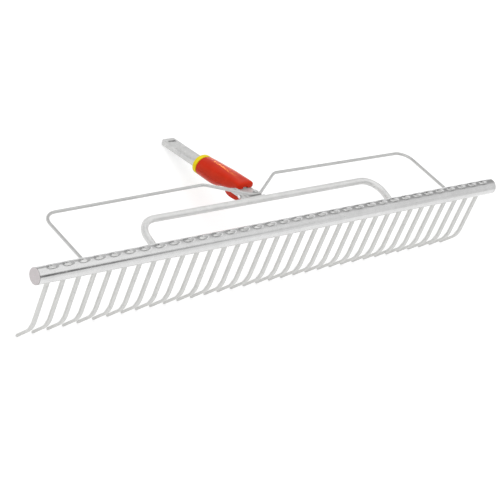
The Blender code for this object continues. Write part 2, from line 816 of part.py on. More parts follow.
def add_shell():
    far = COLLAR_START + 2 * COLLAR_LENGTH
    wide = 2 * TONGUE_WIDTH
    upper = part("shell_upper", shell_outer("shell_upper"), RED_PLASTIC, TONGUE)
    lower = part("shell_lower", shell_outer("shell_lower"), RED_PLASTIC, TONGUE)
    below = box("below_parting", (-wide, 0, -wide), (wide, far, GAP / 2))
    boolean(upper, cutter("below_parting", below, TONGUE))
    above = box("above_parting", (-wide, 0, -GAP / 2), (wide, far, wide))
    boolean(lower, cutter("above_parting", above, TONGUE))
    front = box("lower_front", (-wide, 0, -wide), (wide, LOWER_START, wide))
    boolean(lower, cutter("lower_front", front, TONGUE))
    hollow = cutter("shell_hollow", shell_inner("shell_hollow"), TONGUE)
    boolean(upper, hollow)
    boolean(lower, hollow)
    snug = TONGUE_WIDTH / 2 + GAP
    arch = PLATE_TOP + 2 * GAP + RIVET_HEAD_HEIGHT
    half = [
        (RIVET_HEAD * 0.75, arch),
        (RIVET_HEAD, arch - GAP),
        (snug, PLATE_TOP + GAP),
        (snug, -HALF_HEIGHT - GAP),
    ]
    mouth = half + [(-x, z) for x, z in reversed(half)]
    straddle = loft("neck_recess", [(0, mouth), (STUD_PLACE + STUD_DIAMETER, mouth)])
    boolean(upper, cutter("neck_recess", straddle, TONGUE))
    slot, ledge = INNER_HALF_WIDTH + GAP, -HALF_HEIGHT - GAP
    half = [(snug, OVERSHOOT), (snug, ledge), (slot, ledge), (slot, -wide)]
    notch = half + [(-x, z) for x, z in reversed(half)]
    opening = loft("lever_slot", [(0, notch), (LEVER_SLOT_END, notch)])
    boolean(lower, cutter("lever_slot", opening, TONGUE))
    top = shell_top(STUD_PLACE) - SHELL_WALL / 2
    ends = [((0, STUD_PLACE, WEB_UNDER), (0, STUD_PLACE, top))]
    stud = cylinders("shell_stud", ends, STUD_DIAMETER / 2, SMALL_SIDES)
    boolean(upper, cutter("shell_stud", stud, TONGUE), "UNION")


def add_collar():
    start, end = COLLAR_START + GAP, COLLAR_START + COLLAR_LENGTH
    edge = (end - COLLAR_ROUNDING, shell_section(-1, 0))
    face = (end, shell_section(-1, COLLAR_ROUNDING))
    outer = loft("collar", [(start, shell_section(-1, 0)), edge, face])
    collar = part("collar", outer, YELLOW_PLASTIC, TONGUE)
    outline = shell_section(-1, COLLAR_THICKNESS)
    seat = loft("collar_seat", [(start - OVERSHOOT, outline), (end - COLLAR_LIP, outline)])
    boolean(collar, cutter("collar_seat", seat, TONGUE))
    outline = shell_section(-1, COLLAR_THICKNESS + SHELL_WALL)
    mouth = loft("collar_mouth", [(start - OVERSHOOT, outline), (end + OVERSHOOT, outline)])
    boolean(collar, cutter("collar_mouth", mouth, TONGUE))


# Rest on the floor


def world_points(names):
    """The corners of the named pieces, in world space."""
    graph = bpy.context.evaluated_depsgraph_get()
    points = []
    for name in names:
        evaluated = bpy.data.objects[name].evaluated_get(graph)
        mesh = evaluated.to_mesh()
        points += [evaluated.matrix_world @ vertex.co for vertex in mesh.vertices]
        evaluated.to_mesh_clear()
    return points


def resting_tilt():
    """The turn about X at which the tine tips and the end of the tongue are equally low."""
    tips, tongue = world_points(["tine_01"]), world_points(["tongue"])

    def lowest(points, tilt):
        return min(place.y * math.sin(tilt) + place.z * math.cos(tilt) for place in points)

    low, high = -math.pi / 4, math.pi / 4
    for _ in range(40):
        tilt = (low + high) / 2
        if lowest(tips, tilt) < lowest(tongue, tilt):
            high = tilt
        else:
            low = tilt
    return tilt


def lay_down():
    bpy.context.view_layer.update()
    RAKE.rotation_euler.x = resting_tilt()
    bpy.context.view_layer.update()
    points = world_points([obj.name for obj in PARTS.objects if obj.type != "EMPTY"])
    ys = [place.y for place in points]
    RAKE.location.y -= (min(ys) + max(ys)) / 2
    RAKE.location.z -= min(place.z for place in points)


clear_scene()
PARTS = new_collection("rake_head")
CUTTERS = new_collection("cutters")
STEEL = finish("galvanised_steel", (0.55, 0.55, 0.54), 0.38, 1.0)
CAP_PLASTIC = finish("grey_cap_plastic", (0.52, 0.48, 0.49), 0.55, 0.0)
RED_PLASTIC = finish("red_plastic", (0.60, 0.035, 0.025), 0.35, 0.0)
YELLOW_PLASTIC = finish("yellow_plastic", (0.75, 0.60, 0.02), 0.40, 0.0)
RAKE = empty("rake_frame", None, (0, 0, 0), 0)
TONGUE = empty("tongue_frame", RAKE, on_tongue(0, 0), -TONGUE_TILT)
LEVER = empty("lever_frame", TONGUE, (0, PIVOT, PIVOT_LEVEL), 0)

add_beam()
add_caps()
add_tines()
add_stay()
add_bail()
add_tongue()
add_neck_plate()
add_neck_rivets()
add_lever()
add_latch_blade()
add_blade_rivet()
add_lever_pin()
add_latch_spring()
add_shell()
add_collar()
lay_down()
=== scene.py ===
"""Finishes a packed rake head: a galvanised tube with a row of bent tines, a rod loop, a wire bail and a
plastic socket round a steel tongue, on a white studio floor.

Metres, +Z up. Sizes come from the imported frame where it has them. The pieces are shaped in three frames, of
the tines, of the tongue and of the release lever, and each finished mesh is moved to its place.
"""

import json
import math

import bmesh
import bpy
from bpy.props import FloatProperty, FloatVectorProperty, IntProperty, PointerProperty
from mathutils import Matrix, Vector

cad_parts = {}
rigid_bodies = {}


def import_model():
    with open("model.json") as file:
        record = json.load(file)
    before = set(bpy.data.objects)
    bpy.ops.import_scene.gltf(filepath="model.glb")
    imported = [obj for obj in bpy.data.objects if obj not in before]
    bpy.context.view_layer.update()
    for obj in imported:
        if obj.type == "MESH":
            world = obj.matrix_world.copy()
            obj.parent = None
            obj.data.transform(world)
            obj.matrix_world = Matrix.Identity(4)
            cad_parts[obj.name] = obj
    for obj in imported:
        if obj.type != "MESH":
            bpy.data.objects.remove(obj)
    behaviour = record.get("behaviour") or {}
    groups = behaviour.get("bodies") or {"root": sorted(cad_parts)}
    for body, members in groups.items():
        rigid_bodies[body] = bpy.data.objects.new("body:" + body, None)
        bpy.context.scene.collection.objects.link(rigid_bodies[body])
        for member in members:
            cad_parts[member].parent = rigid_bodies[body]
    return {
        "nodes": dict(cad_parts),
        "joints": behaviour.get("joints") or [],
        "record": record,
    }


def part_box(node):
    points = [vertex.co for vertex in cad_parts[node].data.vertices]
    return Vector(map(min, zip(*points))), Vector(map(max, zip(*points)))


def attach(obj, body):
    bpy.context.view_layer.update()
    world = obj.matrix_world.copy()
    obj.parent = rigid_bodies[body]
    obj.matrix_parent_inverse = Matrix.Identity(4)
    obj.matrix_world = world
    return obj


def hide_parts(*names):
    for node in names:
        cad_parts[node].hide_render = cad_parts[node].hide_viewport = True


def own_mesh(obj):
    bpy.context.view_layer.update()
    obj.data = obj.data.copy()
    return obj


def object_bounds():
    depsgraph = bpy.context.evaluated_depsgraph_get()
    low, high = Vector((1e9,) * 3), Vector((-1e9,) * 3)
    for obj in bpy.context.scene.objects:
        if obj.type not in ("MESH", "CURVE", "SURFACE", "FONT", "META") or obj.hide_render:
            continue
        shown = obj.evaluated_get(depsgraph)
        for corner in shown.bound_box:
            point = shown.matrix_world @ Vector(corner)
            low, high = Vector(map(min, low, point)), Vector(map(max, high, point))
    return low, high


bl_info = {
    "name": "Rake Head Finisher",
    "version": (1, 0, 0),
    "blender": (4, 5, 0),
    "location": "3D View > Sidebar > Rake",
    "description": "Shapes and finishes the pieces of a wide rake head round its packed frame",
    "category": "Add Mesh",
}

for startup in list(bpy.data.objects):
    bpy.data.objects.remove(startup, do_unlink=True)
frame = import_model()
CAD_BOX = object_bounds()

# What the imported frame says: the tube, the tines, the tongue's end and direction, the lever's pin
TUBE_LOW, TUBE_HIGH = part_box("beam_tube")
TUBE_MIDDLE = (TUBE_LOW + TUBE_HIGH) / 2
TUBE_RADIUS = (TUBE_HIGH.z - TUBE_LOW.z) / 2
TINE_NODES = sorted(name for name in frame["nodes"] if name.startswith("tine_"))
TINE_XS = [sum(corner.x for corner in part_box(name)) / 2 for name in TINE_NODES]
PITCH = TINE_XS[1] - TINE_XS[0]
MOUNTS = {mount["name"]: mount for mount in frame["record"]["mounts"]}
ALONG_TONGUE = Vector(MOUNTS["tongue_end"]["axis"])
PIVOT = Vector(frame["joints"][0]["pos_m"])

# How the frames lie: the tongue tips down from the tines' frame, and the head leans on its tine tips
TONGUE_TILT = math.radians(12)
TONGUE_SLOPE = math.atan2(-ALONG_TONGUE.z, ALONG_TONGUE.y)
TONGUE_TURN = Matrix.Rotation(-TONGUE_SLOPE, 4, "X")
TONGUE_END = 0.153
TONGUE_HEIGHT = 0.006
TONGUE_WALL = 0.0015
END_POINT = Vector((0, TONGUE_END, (TONGUE_HEIGHT - TONGUE_WALL) / 2))
RAKE = Matrix.Translation(TUBE_MIDDLE) @ Matrix.Rotation(TONGUE_TILT - TONGUE_SLOPE, 4, "X")
TONGUE = Matrix.Translation(Vector(MOUNTS["tongue_end"]["pos_m"]) - TONGUE_TURN @ END_POINT) @ TONGUE_TURN
LEVER = Matrix.Translation(PIVOT) @ TONGUE_TURN
GAP = 0.0003  # clearance between pieces that touch on the real head

STREAKED = "streaked_by_the_spot"  # the collection of the pieces that the spot behind lights

# The camera's place in metres and its turn in degrees, as fitted to the photograph's view of the row of tines
CAMERA_PLACE = (-1.12545, -0.69632, 1.20857)
CAMERA_TURN = (40.4931, -27.3702, -32.359)
CAMERA_SHIFT = (-0.001, 0.001)


# Settings that a user would change


def length(name, default, description):
    return FloatProperty(name=name, description=description, default=default, precision=4, unit="LENGTH")


def angle(name, degrees, description):
    turn = math.radians(degrees)
    return FloatProperty(name=name, description=description, default=turn, unit="ROTATION")


def share(name, default, description):
    limits = {"min": 0, "max": 1, "subtype": "FACTOR"}
    return FloatProperty(name=name, description=description, default=default, **limits)


def strength(name, default, description):
    return FloatProperty(name=name, description=description, default=default, min=0)


def count(name, default, description):
    return IntProperty(name=name, description=description, default=default, min=1)


def linear(code):
    """The linear colour of an sRGB hex code."""
    channels = [int(code[place : place + 2], 16) / 255 for place in (1, 3, 5)]
    return [c / 12.92 if c <= 0.04045 else ((c + 0.055) / 1.055) ** 2.4 for c in channels]


def colour(name, code, description):
    limits = {"size": 3, "min": 0, "max": 1, "subtype": "COLOR"}
    return FloatVectorProperty(name=name, description=description, default=linear(code), **limits)


class TubeSettings(bpy.types.PropertyGroup):
    """Sizes of the tube and of the caps in its ends."""

    wall: length("Wall", 0.0012, "Thickness of the tube's wall")
    dish_length: length("Dish length", 0.0140, "Length of the dish pressed in round each tine")
    dish_width: length("Dish width", 0.0068, "Width of the dish, measured round the tube")
    dish_depth: length("Dish depth", 0.0011, "Depth of the dish in its middle")
    reach: length("Reach", 0.0018, "How far the tube's ends reach beyond the packed ones")
    cap_flange: length("Cap flange", 0.003, "How far a cap stands out of the packed tube")
    cap_plug: length("Cap plug", 0.008, "How far a cap reaches into the tube")
    cap_dome: length("Cap dome", 0.001, "Height of the rounding at a cap's rim")


class TineSettings(bpy.types.PropertyGroup):
    """Sizes of the row of tines."""

    diameter: length("Diameter", 0.00443, "Thickness of the rod")
    straight: length("Straight", 0.056, "From the tube's axis to the bend")
    bend_radius: length("Bend radius", 0.025, "Radius of the bend, at the rod's middle")
    bend: angle("Bend", 36, "How far the tip turns towards the handle")
    tip: length("Tip", 0.0204, "Straight stretch beyond the bend")
    point: length("Point", 0.002, "Length over which the end is drawn in")
    taper: share("Taper", 0.68, "Thickness at the tip, as a share of the rod's")
    head: length("Head", 0.0036, "Width of the peened head, across the tube")
    head_length: length("Head length", 0.0078, "Length of the peened head, along the tube")
    head_height: length("Head height", 0.0005, "Height of the peened head over the bottom of its dish")


class WireSettings(bpy.types.PropertyGroup):
    """Sizes of the rod loop and of the wire bail."""

    loop: length("Loop rod", 0.0070, "Thickness of the rod loop")
    loop_half_width: length("Loop half width", 0.1555, "From the middle to each leg of the loop")
    loop_reach: length("Loop reach", 0.0436, "From the tube's axis to the long run of the loop")
    loop_drop: length("Loop drop", 0.0001, "Of the long run under the tube's axis")
    loop_slope: angle("Loop slope", 8.5, "How the loop's legs climb away from the tube")
    loop_corner: length("Loop corner", 0.020, "Bend radius of the loop")
    bead: length("Weld bead", 0.0014, "How far the weld bead stands out round the rod")
    bail: length("Bail wire", 0.0031, "Thickness of the bail")
    bail_pitches: count("Bail pitches", 14, "Tine pitches from the middle to each leg of the bail")
    bail_reach: length("Bail reach", 0.0805, "From the tube's axis to the long runs of the bail")
    bail_start: length("Bail start", 0.0035, "From the tube's axis to the wire's end inside it")
    bail_start_drop: length("Bail start drop", 0.0022, "Of the wire's end under the tube's axis")
    bail_drop: length("Bail drop", 0.0052, "Of the outer corners under the tube's axis")
    bail_corner: length("Bail corner", 0.015, "Bend radius of the outer corners")
    vee_half_width: length("Vee half width", 0.0465, "From the middle to where the vee begins")
    vee_drop: length("Vee drop", 0.0028, "Of that point under the tube's axis")
    vee_corner: length("Vee corner", 0.014, "Bend radius where the vee begins")
    vee_flat: length("Vee flat", 0.006, "Half width of the bottom of the vee")
    vee_bottom: length("Vee bottom corner", 0.003, "Bend radius at the bottom of the vee")
    vee_seat: length("Vee seat", 0.0097, "From the loop's rod to where the vee lies on the neck")


class NeckSettings(bpy.types.PropertyGroup):
    """Sizes of the tongue, the neck plate and their rivets."""

    width: length("Width", 0.0164, "Width of the tongue and of the plate")
    drop: length("Drop", 0.0058, "Of the tongue's middle under the middle of the loop's rod")
    start: length("Start", 0.0095, "From the loop's rod to the tongue's hidden end")
    edge: length("Edge", 0.0008, "Rounding along the tongue")
    corner: length("Corner", 0.0025, "Rounding of the free end, seen from above")
    cutout_start: length("Cutout start", 0.018, "Where the underside is cut away over the lever")
    cutout_end: length("Cutout end", 0.072, "Where that cutout ends")
    slot_from_end: length("Slot from end", 0.0076, "From the free end to the catch slot's middle")
    slot_width: length("Slot width", 0.0036, "Width of the catch slot along the tongue")
    slot_length: length("Slot length", 0.0100, "Length of the catch slot across the tongue")
    plate: length("Plate", 0.002, "Thickness of the neck plate")
    plate_end: length("Plate end", 0.045, "Where the plate ends on the tongue")
    plate_step: length("Plate step", 0.008, "Where the plate has come down to the tongue")
    plate_rise: length("Plate rise", 0.0005, "Of the plate's front edge over the loop's rod")
    hook_width: length("Hook width", 0.004, "Width of the hook over the vee")
    hook: length("Hook", 0.0012, "Thickness of the hook")
    hook_overhang: length("Hook overhang", 0.004, "How far the hook reaches over the vee")
    rivet_front: length("Front rivet", 0.0285, "Place of the rivet that shows")
    rivet_rear: length("Rear rivet", 0.0415, "Place of the hidden rivet")
    rivet_head: length("Rivet head", 0.0058, "Diameter of a rivet's head")
    rivet_height: length("Rivet height", 0.0012, "Height of a rivet's head")
    rivet_shank: length("Rivet shank", 0.003, "Diameter of a rivet")


class SocketSettings(bpy.types.PropertyGroup):
    """Sizes of the two halves of the socket and of the collar over their ends."""

    wall: length("Wall", 0.0016, "Thickness of the mouldings")
    lower_start: length("Lower start", 0.047, "Where the lower half begins")
    slot_end: length("Slot end", 0.0585, "Where the lever's slot ends")
    stud_place: length("Stud place", 0.052, "Place of the stud that holds the upper half")
    stud: length("Stud", 0.004, "Diameter of that stud")
    collar: length("Collar", 0.006, "Length of the collar")
    collar_groove: length("Collar groove", 0.0010, "Shadow gap between the halves' shoulder and the collar")
    collar_wall: length("Collar wall", 0.0011, "Thickness of the collar")
    collar_lip: length("Collar lip", 0.0012, "Thickness of the collar's lip over the halves' ends")
    collar_rounding: length("Collar rounding", 0.0006, "Rounding of the collar's outer edge")


class LeverSettings(bpy.types.PropertyGroup):
    """Sizes of the release lever, its pin, its blade and its rivet."""

    boss: length("Boss", 0.0025, "Radius of the boss round the pin")
    heel: length("Heel", 0.0022, "How far the pad reaches in front of the pin")
    reach: length("Reach", 0.0255, "How far the pad reaches behind the pin")
    depth: length("Depth", 0.007, "Depth of the pad")
    rounding: length("Rounding", 0.0009, "Rounding of the pad's edges")
    side_gap: length("Side gap", 0.0005, "Between the lever and the tongue's side walls")
    grooves: count("Grooves", 5, "Grip grooves across the pad's underside")
    groove: length("Groove", 0.0012, "Width of a grip groove")
    blade: length("Blade", 0.0012, "Thickness of the latch blade")
    blade_start: length("Blade start", 0.0035, "From the pin to the blade's start")
    blade_lift: length("Blade lift", 0.0009, "Of the blade's top over the pin, at its start")
    blade_droop: angle("Blade droop", 4.4, "Slope of the blade under the tongue's web")
    pin: length("Pin", 0.0025, "Diameter of the pin")
    pin_head: length("Pin head", 0.004, "Diameter of the pin's heads")
    pin_head_height: length("Pin head height", 0.0008, "Height of the pin's heads")


class FinishSettings(bpy.types.PropertyGroup):
    """Colours of the finishes."""

    tube: colour("Tube", "#DADADA", "Bright zinc on the tube")
    head: colour("Tine heads", "#E9E9E8", "Freshly hammered zinc on the heads of the tines")
    rod: colour("Rod", "#E4E4E3", "Zinc on the rod loop, bright on the pin and the rivet of the latch")
    wire: colour("Wire", "#CFCFCE", "Dull zinc on the bail")
    weld: colour("Weld", "#9C9B99", "Zinc over the rough weld beads")
    tine: colour("Tines", "#D2D2D0", "Satin zinc on the tines")
    tongue: colour("Tongue", "#D6D6D5", "Satin zinc on the tongue and the neck plate")
    spring: colour("Spring steel", "#A9A9AB", "Plain spring steel of the blade and the leaf")
    cap: colour("Caps", "#D6D0D1", "Moulded polyethylene of the caps")
    red: colour("Red", "#CE2E1A", "Moulded red of the socket and the lever")
    # A painted highlight: this orange tints the red's highlights and sheen.
    painted_highlight_tint: colour("Bloom", "#FF9A40", "Warm bloom on the red where it is seen at a low angle")
    yellow: colour("Yellow", "#F2DC14", "Moulded yellow of the collar")


class StageSettings(bpy.types.PropertyGroup):
    """Camera, lamps and floor."""

    lens: FloatProperty(name="Lens", description="Focal length in mm", default=126, min=1, unit="CAMERA")
    key: strength("Key lamp", 12, "Power of the overhead softbox in watts")
    fill: strength("Fill lamp", 4, "Power of the front softbox in watts")
    rim: strength("Rim spot", 12, "Power of the narrow spot low behind in watts")
    room: strength("Room", 0.7, "Strength of the even light from all around")


# Meshes


def mesh_of(shape, name):
    """The bmesh as a mesh, with its doubles merged and its faces turned outwards."""
    bmesh.ops.remove_doubles(shape, verts=shape.verts, dist=1e-6)
    bmesh.ops.recalc_face_normals(shape, faces=shape.faces)
    mesh = bpy.data.meshes.new(name)
    shape.to_mesh(mesh)
    shape.free()
    return mesh


def quads(shape, rows):
    """Adds the faces between rows of points."""
    rows = [[shape.verts.new(point) for point in row] for row in rows]
    for first, second in zip(rows, rows[1:]):
        for k in range(len(first) - 1):
            shape.faces.new((first[k], second[k], second[k + 1], first[k + 1]))


def skin(name, rings, closed_ends=True):
    """A surface through rings of points. A ring of one point is a pole."""
    shape = bmesh.new()
    rings = [[shape.verts.new(point) for point in ring] for ring in rings]
    for first, second in zip(rings, rings[1:]):
        most = max(len(first), len(second))
        for k in range(most):
            n = (k + 1) % most
            corners = (first[k % len(first)], second[k % len(second)])
            corners += (second[n % len(second)], first[n % len(first)])
            shape.faces.new(tuple(dict.fromkeys(corners)))
    if closed_ends:
        for ring in (rings[0], rings[-1]):
            if len(ring) > 2:
                shape.faces.new(ring)
    return mesh_of(shape, name)


def circle(radius, steps):
    """Points round a circle."""
    turns = [math.tau * step / steps for step in range(steps)]
    return [(radius * math.cos(turn), radius * math.sin(turn)) for turn in turns]


def turned(name, outline, steps=48):
    """A solid of revolution round Z, from (radius, height) points."""
    rings = []
    for radius, height in outline:
        points = circle(radius, steps) if radius > 0 else [(0, 0)]
        rings.append([(x, y, height) for x, y in points])
    return skin(name, rings)


def mirrored(half):
    """A closed outline from the half of it at positive X."""
    return [*half, *((-x, z) for x, z in reversed(half))]


def directions(path):
    """The direction of a path at each of its points."""
    pairs = zip([path[0], *path], [*path[1:], path[-1]])
    return [(after - before).normalized() for before, after in pairs]


def eased(outline, reach, steps=4):
    """The outline with its inner corners replaced by short curves that begin this far from them."""
    points = [Vector(outline[0])]
    for before, corner, after in zip(outline, outline[1:], outline[2:]):
        before, corner, after = Vector(before), Vector(corner), Vector(after)
        back, ahead = before - corner, after - corner
        start = corner + back * min(0.45, reach / max(back.length, 1e-9))
        end = corner + ahead * min(0.45, reach / max(ahead.length, 1e-9))
        for step in range(steps + 1):
            t = step / steps
            points.append(start * (1 - t) ** 2 + corner * 2 * t * (1 - t) + end * t**2)
    return [tuple(point) for point in (*points, Vector(outline[-1]))]


def swept(name, path, radii, steps=20, stretch=()):
    """A round bar of varying thickness along a path in the Y-Z plane, closed at both ends. Stretch widens its
    first rings across the path."""
    rings = [[path[0]]]
    stretch = [*stretch, *([1] * (len(path) - len(stretch)))]
    across = Vector((1, 0, 0))
    for point, ahead, radius, wider in zip(path, directions(path), radii, stretch):
        up = ahead.cross(across)
        rings.append([point + across * x * wider + up * y for x, y in circle(radius, steps)])
    rings.append([path[-1]])
    return skin(name, rings)


def bent(points, radii, steps):
    """The line through the points, with an arc of the given radius at each inner corner."""
    path = [Vector(points[0])]
    for before, corner, after, radius in zip(points, points[1:], points[2:], radii):
        corner = Vector(corner)
        back, ahead = (Vector(before) - corner).normalized(), (Vector(after) - corner).normalized()
        half = back.angle(ahead) / 2
        reach = radius / math.tan(half)
        centre = corner + (back + ahead).normalized() * radius / math.sin(half)
        start, end = corner + back * reach - centre, corner + ahead * reach - centre
        turn = start.angle(end)
        for step in range(steps + 1):
            t = step / steps
            spoke = start * math.sin((1 - t) * turn) + end * math.sin(t * turn)
            path.append(centre + spoke / math.sin(turn))
    path.append(Vector(points[-1]))
    return path


def block(name, low, high):
    """A box between two corners."""
    low, high = Vector(low), Vector(high)
    shape = bmesh.new()
    matrix = Matrix.Translation((low + high) / 2) @ Matrix.Diagonal((*(high - low), 1))
    bmesh.ops.create_cube(shape, size=1, matrix=matrix)
    return mesh_of(shape, name)


def dowel(name, start, end, radius, steps=32):
    """A cylinder between two points."""
    start, end = Vector(start), Vector(end)
    turn = (end - start).to_track_quat("Z", "Y").to_matrix()
    ring = circle(radius, steps)
    return skin(name, [[turn @ Vector((x, y, 0)) + foot for x, y in ring] for foot in (start, end)])


def loft(name, stations):
    """A closed solid through sections. A station holds a distance along Y and (X, Z) points."""
    return skin(name, [[(x, y, z) for x, z in points] for y, points in stations])


def prism(name, outline, width):
    """A closed outline of (Y, Z) points, made this wide across X."""
    return skin(name, [[(x, y, z) for y, z in outline] for x in (-width / 2, width / 2)])


def evaluated(obj):
    """The object's mesh with its modifiers applied. The object is removed."""
    bpy.context.view_layer.update()
    graph = bpy.context.evaluated_depsgraph_get()
    mesh = bpy.data.meshes.new_from_object(obj.evaluated_get(graph))
    bpy.data.objects.remove(obj, do_unlink=True)
    return mesh


def helper(name, data):
    """An object in the scene, to shape or to keep."""
    obj = bpy.data.objects.new(name, data)
    bpy.context.scene.collection.objects.link(obj)
    return obj


def carved(mesh, cuts, edge=0.0, joins=()):
    """The mesh after cuts and joins with other meshes, with its sharp edges rounded by that much."""
    obj = helper(mesh.name, mesh)
    tools = [(helper(tool.name, tool), "UNION") for tool in joins]
    tools += [(helper(tool.name, tool), "DIFFERENCE") for tool in cuts]
    for tool, kind in tools:
        modifier = obj.modifiers.new(tool.name, "BOOLEAN")
        modifier.operation = kind
        modifier.solver = "EXACT"
        modifier.object = tool
    if edge:
        modifier = obj.modifiers.new("eased edges", "BEVEL")
        modifier.width = edge
        modifier.segments = 2
        modifier.limit_method = "ANGLE"
        modifier.angle_limit = math.radians(50)
    result = evaluated(obj)
    for tool, kind in tools:
        bpy.data.objects.remove(tool, do_unlink=True)
    return result


def piece(name, mesh, place, body, look, nodes=(), sharp=40):
    """A finished piece: its mesh in place, its finish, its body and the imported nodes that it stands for.
    Without a look, the mesh keeps the finishes that it has."""
    mesh.transform(place)
    mesh.name = name
    if look:
        mesh.materials.clear()
        mesh.materials.append(finish(look))
    mesh.shade_smooth()
    mesh.set_sharp_from_angle(angle=math.radians(sharp))
    obj = helper(name, mesh)
    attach(obj, body)
    if nodes:
        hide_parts(*nodes)
    return obj


# Node trees, with short names for the kinds of node that come up most

MATH, VECTOR_MATH = "ShaderNodeMath", "ShaderNodeVectorMath"
MAP_RANGE, NOISE = "ShaderNodeMapRange", "ShaderNodeTexNoise"
NOISE_RANGE = (0.3, 0.7)  # where nearly all of a noise's values lie


def fill(tree, node, inputs):
    """Sets a node's inputs, in the order of its sockets or by name. One that is a socket itself is linked."""
    for socket, value in inputs.items() if isinstance(inputs, dict) else enumerate(inputs):
        if isinstance(value, bpy.types.NodeSocket):
            tree.links.new(value, node.inputs[socket])
        else:
            node.inputs[socket].default_value = value


def add(tree, kind, inputs=(), out=0, **settings):
    """Adds a node with its settings and inputs. Returns one output, or all of them where out is None."""
    made = tree.nodes.new(kind)
    for name, value in settings.items():
        setattr(made, name, value)
    fill(tree, made, inputs)
    return made.outputs if out is None else made.outputs[out]


def shape_tree(name, sockets):
    """An empty Geometry Nodes tree with a geometry socket at both ends and these named inputs."""
    tree = bpy.data.node_groups.new(name, "GeometryNodeTree")
    tree.interface.new_socket("Geometry", in_out="OUTPUT", socket_type="NodeSocketGeometry")
    for label, kind in {"Geometry": "Geometry", **sockets, "Material": "Material"}.items():
        tree.interface.new_socket(label, in_out="INPUT", socket_type=f"NodeSocket{kind}")
    return tree, add(tree, "NodeGroupInput", out=None)


def close_tree(tree, geometry, given):
    """Ends a tree in real geometry with its material."""
    real = add(tree, "GeometryNodeRealizeInstances", (geometry,))
    painted = add(tree, "GeometryNodeSetMaterial", {"Geometry": real, "Material": given["Material"]})
    add(tree, "NodeGroupOutput", (painted,), None)


def in_a_row(tree, given, turn=(0, 0, 0)):
    """The given geometry, repeated along X about the middle, each copy turned by that much."""
    spaces = add(tree, MATH, (given["Count"], 1.0), operation="SUBTRACT")
    whole = add(tree, MATH, (spaces, given["Pitch"]), operation="MULTIPLY")
    first = add(tree, MATH, (whole, -0.5), operation="MULTIPLY")
    start = add(tree, "ShaderNodeCombineXYZ", (first,))
    step = add(tree, "ShaderNodeCombineXYZ", (given["Pitch"],))
    line = {"Count": given["Count"], "Start Location": start, "Offset": step}
    line = add(tree, "GeometryNodeMeshLine", line)
    copies = {"Points": line, "Instance": given["Geometry"], "Rotation": turn}
    copies = add(tree, "GeometryNodeInstanceOnPoints", copies)
    return add(tree, "GeometryNodeRealizeInstances", (copies,))


def grown(data, tree, values, wall=0.0):
    """The plain mesh that a tree makes from a mesh or a curve, with a wall inwards where one is given."""
    obj = helper(data.name, data)
    modifier = obj.modifiers.new(tree.name, "NODES")
    modifier.node_group = tree
    for socket in tree.interface.items_tree:
        if socket.in_out == "INPUT" and socket.name in values:
            modifier[socket.identifier] = values[socket.name]
    if wall:
        shell = obj.modifiers.new("wall", "SOLIDIFY")
        shell.thickness, shell.offset = wall, -1
    return evaluated(obj)


def row_tree():
    """Tines in a row along X, each turned a little, with tops that are hammered uneven and have their own
    finish."""
    sockets = {"Count": "Int", "Pitch": "Float", "Swing": "Vector", "Seed": "Int", "Top Level": "Float"}
    sockets |= {"Dent": "Float", "Dent Size": "Float", "Top Material": "Material"}
    tree, given = shape_tree("row_of_tines", sockets)
    back = add(tree, VECTOR_MATH, {0: given["Swing"], "Scale": -1.0}, operation="SCALE")
    swing = {0: back, 1: given["Swing"], "Seed": given["Seed"]}
    swing = add(tree, "FunctionNodeRandomValue", swing, data_type="FLOAT_VECTOR")
    row = in_a_row(tree, given, swing)
    place = add(tree, "GeometryNodeInputPosition")
    level = add(tree, "ShaderNodeSeparateXYZ", (place,), "Z")
    top = add(tree, "FunctionNodeCompare", (level, given["Top Level"]), operation="GREATER_THAN")
    fine = add(tree, MATH, (1.0, given["Dent Size"]), operation="DIVIDE")
    noise = add(tree, NOISE, {"Vector": place, "Scale": fine, "Detail": 1.0}, "Color")
    spread = add(tree, VECTOR_MATH, (noise, (0.5, 0.5, 0.5)), operation="SUBTRACT")
    dents = add(tree, VECTOR_MATH, {0: spread, "Scale": given["Dent"]}, operation="SCALE")
    row = add(tree, "GeometryNodeSetPosition", {"Geometry": row, "Selection": top, "Offset": dents})
    row = add(tree, "GeometryNodeSetMaterial", {"Geometry": row, "Material": given["Material"]})
    heads = {"Geometry": row, "Selection": top, "Material": given["Top Material"]}
    add(tree, "NodeGroupOutput", (add(tree, "GeometryNodeSetMaterial", heads),), None)
    return tree


def rod_tree():
    """A round rod along a line of points. Each point's radius is the bend radius there."""
    tree, given = shape_tree("bent_rod", {"Thickness": "Float", "Sides": "Int"})
    bend = add(tree, "GeometryNodeInputRadius")
    line = {"Curve": given["Geometry"], "Radius": bend, "Count": 14, "Limit Radius": True}
    line = add(tree, "GeometryNodeFilletCurve", line, mode="POLY")
    even = add(tree, "GeometryNodeSetCurveRadius", {"Curve": line, "Radius": 1.0})
    half = add(tree, MATH, (given["Thickness"], 0.5), operation="MULTIPLY")
    ring = {"Resolution": given["Sides"], "Radius": half}
    ring = add(tree, "GeometryNodeCurvePrimitiveCircle", ring, "Curve")
    rod = add(tree, "GeometryNodeCurveToMesh", {"Curve": even, "Profile Curve": ring, "Fill Caps": True})
    close_tree(tree, rod, given)
    return tree


